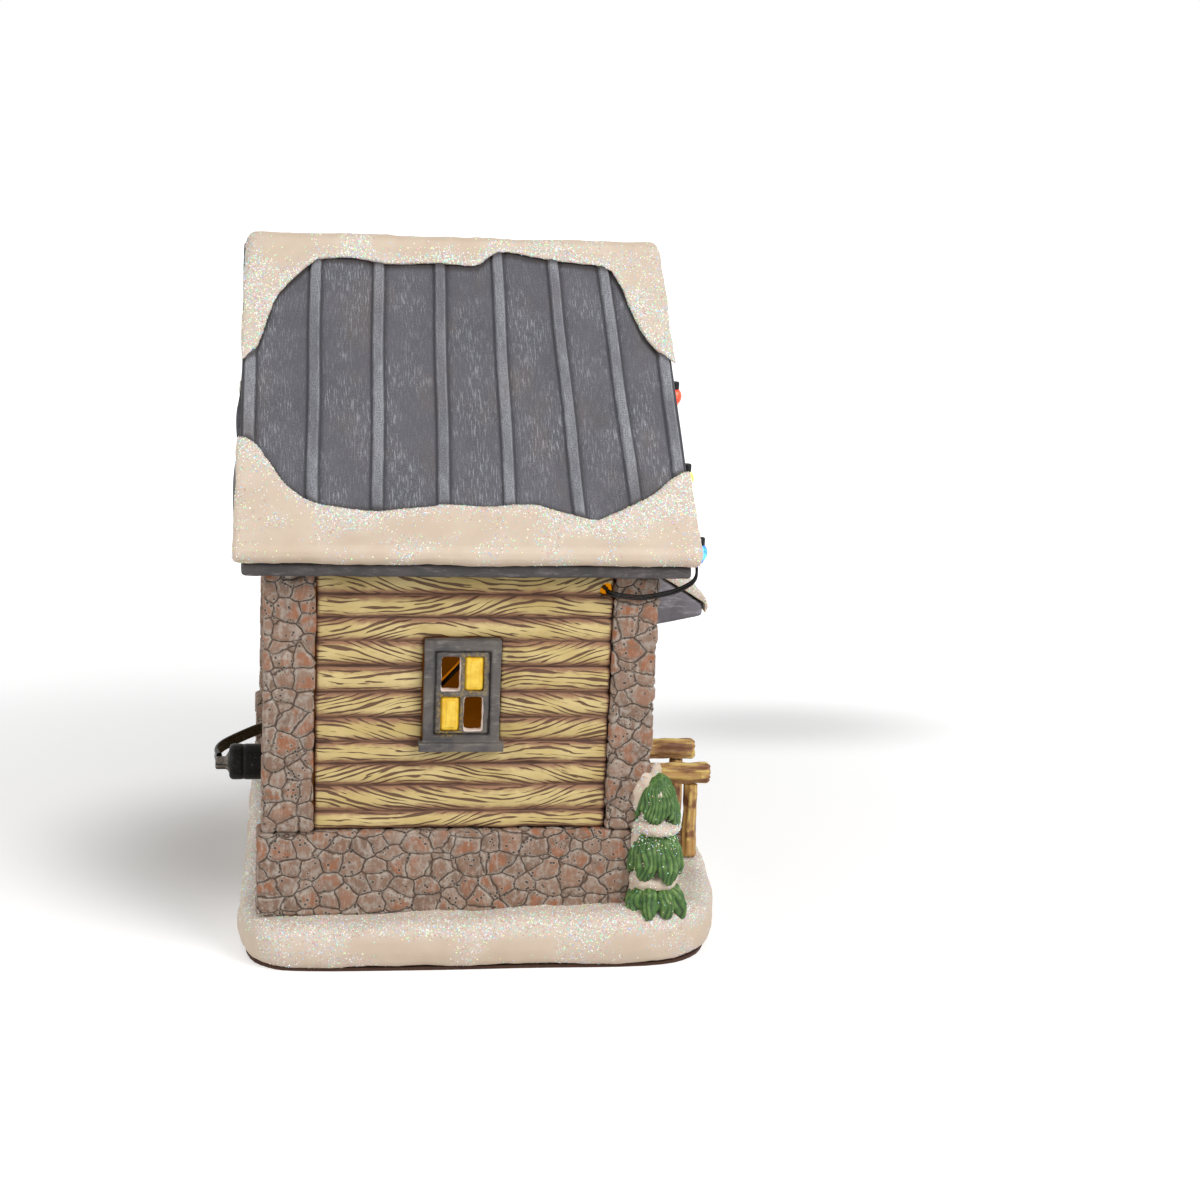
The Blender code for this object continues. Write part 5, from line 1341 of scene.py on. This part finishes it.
# %% [markdown]
# ## Inside
# The lamp stands on its holder in the middle of the base. It lights the room, whose brown glow is
# painted on a lining inside the walls, and the film glows. Thin wires cross the window on their way to
# the string outside, and one of them carries a painted glint.
# %% Inside
ROOM_MIDDLE, ROOM_SIZE = (0.0, 0.0, 76.0), (131.0, 88.0, 76.0)
WIRE_ROUTE = ((0.0, 6.0, 32.0), (-40.0, 14.0, 58.0), (-58.0, 9.4, 71.7), (-60.0, 4.7, 76.8),
              (-60.0, 0.0, 81.9), (-60.0, -4.7, 87.0), (-62.0, -20.0, 98.0), (-63.0, -36.0, 106.5),
              (-66.0, -40.0, 108.0), (-69.0, -40.7, 108.0))
FELT_GROWTH = 1.008  # the pad shows as a thin dark line past the base
place_pieces(remeshed(copy_of("lamp", "lamp_glass"), 0.6), LAMP, "lodge", "lamp")
painted(WHITE, "lamp_holder")
painted(BLACK, "dc_jack")
# A lining inside the walls glows with painted lamplight; it is open at each open light
bpy.ops.object.select_all(action="DESELECT")
bpy.ops.mesh.primitive_cube_add(size=1.0, location=at(*ROOM_MIDDLE), scale=[side * MM for side in ROOM_SIZE])
lining = bpy.context.object
lining.name = "inner_painted_lamplight"
bpy.ops.object.transform_apply(location=True, rotation=True, scale=True)
modify(lining, "SOLIDIFY", thickness=0.0006, offset=-1.0)
for side in (-1, 1):
    for spot in OPEN_PLACES:
        cutter = box((side * 66.0, *spot), (6.0, 9.0, 13.4), 0.3)
        modify(lining, "BOOLEAN", operation="DIFFERENCE", object=cutter, solver="EXACT")
        bpy.data.objects.remove(cutter)
place_pieces(lining, PAINTED_LAMPLIGHT, "lodge")

felt = copy_of("base_felt", "base_felt_pad")
places, _ = points_of(felt)
places[:, :2] = (places[:, :2] + (0, SHIFT_Y)) * FELT_GROWTH - (0, SHIFT_Y)
set_points(felt, places)
place_pieces(felt, FELT, "lodge", "base_felt")
# A thin strand just above the wire glows orange: a painted glint of the lamp
glint_route = [(x + 1.2, y, z + 0.7) for x, y, z in WIRE_ROUTE]
place_pieces(wire("inner_wire", WIRE_ROUTE, 0.62), BLACK, "lodge")
place_pieces(wire("inner_wire_painted_glint", glint_route, STRAND_RADIUS), PAINTED_GLINT_WIRE, "lodge")
print("inside", len(lining.data.polygons), "faces of the lining")

# %% [markdown]
# ## Glitter
# Loose glitter is thousands of tiny cut flakes. One flake is a flat four-sided lens; copies of it are
# scattered over the snow, thickest where the stored number is high, each tilted its own way so that a
# few of them catch the light from any side.
# %% Glitter flakes


def glitter_paint():
    """Cut polyester film: a hard gloss in pale colours, with a faint painted glint of the same colours."""
    made, tree, shader = finish("glitter_film_painted_glint", roughness=0.18)
    tint = add_node(tree, "Attribute", attribute_name="tint").outputs["Color"]
    dust = add_node(tree, "TexNoise", object_place(tree, 0.5), 1.0, 1.0, 0.55)
    share = add_node(tree, "MapRange", dust, 0.3, 0.7, 0.0, 0.25, interpolation_type="SMOOTHSTEP")
    colour = add_node(tree, "Mix", share, tint, "FFFFFF", data_type="RGBA")
    surface(tree, shader, colour)
    # Painted glint: each flake glows faintly in its own colour
    fill(tree, colour, shader.inputs["Emission Color"])
    shader.inputs["Emission Strength"].default_value = 0.4
    return made


GLITTER_AND_GLINT = glitter_paint()
TINTS = ("FFFFFF", "FFFFFF", "F4FFF9", "9CF2CC", "8CF5C8", "6FE3B8", "B8FFB0", "F7B0C8", "F2C0B0", "A9BEFF",
         "8FD0FF", "FFF3A8", "D9FFA8")
FLAKE_MM = 0.38
# How many flakes lie on each piece, in the order in which the snow was made, and on the pine
FLAKES = (22000, 5200, 3400, 2000, 800, 1100, 520)


def flakes(snow, count):
    """Flakes scattered over a snow piece as one mesh."""
    chance = random.Random(count)
    mesh = snow.data
    mesh.calc_loop_triangles()
    share = np.empty(len(mesh.vertices), dtype=np.float32)
    mesh.attributes["glitter"].data.foreach_get("value", share)
    corners = np.array([t.vertices for t in mesh.loop_triangles])
    spots, normals = points_of(snow)
    a, b, c = (spots[corners[:, k]] for k in range(3))
    area = np.linalg.norm(np.cross(b - a, c - a), axis=1)
    shown = (normals[corners[:, 0]][:, 2] > -0.2) | (np.abs(a[:, 0]) > 74.0)
    weight = area * (share[corners].mean(axis=1) ** 2 + 0.02) * shown
    pick = np.random.default_rng(count).choice(len(corners), size=count, p=weight / weight.sum())
    points, faces, tints = [], [], []
    for k in pick:
        r1, r2 = sorted((chance.random(), chance.random()))
        spot = Vector(a[k] * r1 + b[k] * (r2 - r1) + c[k] * (1 - r2))
        tilt = Vector([chance.uniform(-0.45, 0.45) for _ in range(3)])
        out = (Vector(normals[corners[k, 0]]) + tilt).normalized()
        side = out.orthogonal().normalized()
        other = out.cross(side)
        size = FLAKE_MM * chance.uniform(0.6, 1.25) / 2
        turn = chance.uniform(0, math.pi)
        first = len(points)
        for q in range(4):
            angle = turn + q * math.pi / 2
            points.append(spot + out * 0.1 + (side * math.cos(angle) + other * math.sin(angle)) * size)
        points.append(spot + out * 0.16)
        points.append(spot + out * 0.04)
        for q in range(4):
            faces.append((first + q, first + (q + 1) % 4, first + 4))
            faces.append((first + (q + 1) % 4, first + q, first + 5))
        tints += [rgb(chance.choice(TINTS))] * 6
    sheet = bpy.data.meshes.new(snow.name + "_flakes")
    sheet.from_pydata([at(*p) for p in points], [], faces)
    paint = sheet.attributes.new("tint", "FLOAT_COLOR", "POINT")
    paint.data.foreach_set("color", np.array(tints, dtype=np.float32).ravel())
    piece = bpy.data.objects.new(snow.name + "_flakes", sheet)
    bpy.context.scene.collection.objects.link(piece)
    return place_pieces(piece, GLITTER_AND_GLINT, "lodge")


for snow, count in zip(snow_pieces, FLAKES):
    flakes(snow, count)
print("flakes", sum(FLAKES))

# %% [markdown]
# ## Light and floor
# The set is a white table under soft light: a bright even surround, and one large soft lamp from the
# porch side and above, which throws the pale shadow behind the house. The floor looks white
# to the camera but still darkens where the shadow falls.
# %% Light and floor
world = bpy.data.worlds.new("studio")
bpy.context.scene.world = world
world.use_nodes = True
sky = world.node_tree
for old in list(sky.nodes):
    sky.nodes.remove(old)
ray = add_node(sky, "LightPath")
other = add_node(sky, "Math", ray.outputs["Is Glossy Ray"], ray.outputs["Is Transmission Ray"],
                 operation="MAXIMUM")
seen = add_node(sky, "Math", ray.outputs["Is Camera Ray"], other, operation="MAXIMUM")
level = add_node(sky, "MapRange", seen, 0.0, 1.0, 0.4, 1.0)
shell = add_node(sky, "Background", (1.0, 1.0, 1.0, 1.0), level)
add_node(sky, "OutputWorld", shell.outputs[0])

LOOK_AT = at(0, 0, 70)


def round_lamp(name, place, size, watts):
    """A round soft lamp that points at the middle of the house."""
    lamp = bpy.data.objects.new(name, bpy.data.lights.new(name, "AREA"))
    lamp.data.shape = "DISK"
    lamp.data.size = size
    lamp.data.energy = watts
    lamp.location = at(*place)
    lamp.rotation_euler = (LOOK_AT - lamp.location).to_track_quat("-Z", "Y").to_euler()
    bpy.context.scene.collection.objects.link(lamp)


round_lamp("key", (-560.0, -470.0, 600.0), 0.5, 4.5)
round_lamp("fill", (-420.0, 620.0, 420.0), 0.4, 1.8)
print("lamps", len(bpy.data.lights))

# %% [markdown]
# ## The table
# The floor is a large plane in matt white. To the camera it glows nearly white, with painted shade
# near the house and two painted shadows, and the lamps' own shadows still darken it. Other rays see
# only its plain white paint.
# %% The table
# Two painted shadows in the floor's glow: middle, reach along each axis, and depth; beside the back wall,
# and beyond the porch
PAINTED_FLOOR_SHADOWS = (((20.0, 62.0), (95.0, 85.0), 0.36), ((158.0, -150.0), (45.0, 100.0), 0.24))

bpy.ops.object.select_all(action="DESELECT")
bpy.ops.mesh.primitive_plane_add(size=6.0, location=(0.0, 0.0, 0.0))
floor = bpy.context.object
floor.name = "floor"
table_white, tree, shader = finish("white_table", roughness=0.9)
shader.inputs["Base Color"].default_value = (0.8, 0.8, 0.8, 1.0)
ray = add_node(tree, "LightPath")
seen = add_node(tree, "Math", ray.outputs["Is Camera Ray"], ray.outputs["Is Glossy Ray"],
                operation="MAXIMUM")
shader.inputs["Emission Color"].default_value = (1.0, 1.0, 1.0, 1.0)
spot = add_node(tree, "TexCoord").outputs["Object"]
away = add_node(tree, "VectorMath", spot, operation="LENGTH")
# Painted shade: the floor's glow is weaker near the house
lit = add_node(tree, "MapRange", away, 0.14, 0.62, 0.42, 1.0, interpolation_type="SMOOTHSTEP")
for middle, reach, depth in PAINTED_FLOOR_SHADOWS:
    start = at(*middle, 0.0)
    off = add_node(tree, "VectorMath", spot, (start.x, start.y, 0.0), operation="SUBTRACT")
    off = add_node(tree, "VectorMath", off, (*[1000.0 / r for r in reach], 0.0), operation="MULTIPLY")
    off = add_node(tree, "VectorMath", off, operation="LENGTH")
    other = add_node(tree, "MapRange", off, 0.1, 1.0, depth, 0.0, interpolation_type="SMOOTHSTEP")
    lit = add_node(tree, "Math", lit, other, operation="SUBTRACT")
fill(tree, add_node(tree, "Math", seen, lit, operation="MULTIPLY"), shader.inputs["Emission Strength"])
floor.data.materials.append(table_white)

# %% [markdown]
# ## Finish
# Colours are shown as they are, without a film look.
# %% Finish
bpy.context.scene.view_settings.view_transform = "Standard"
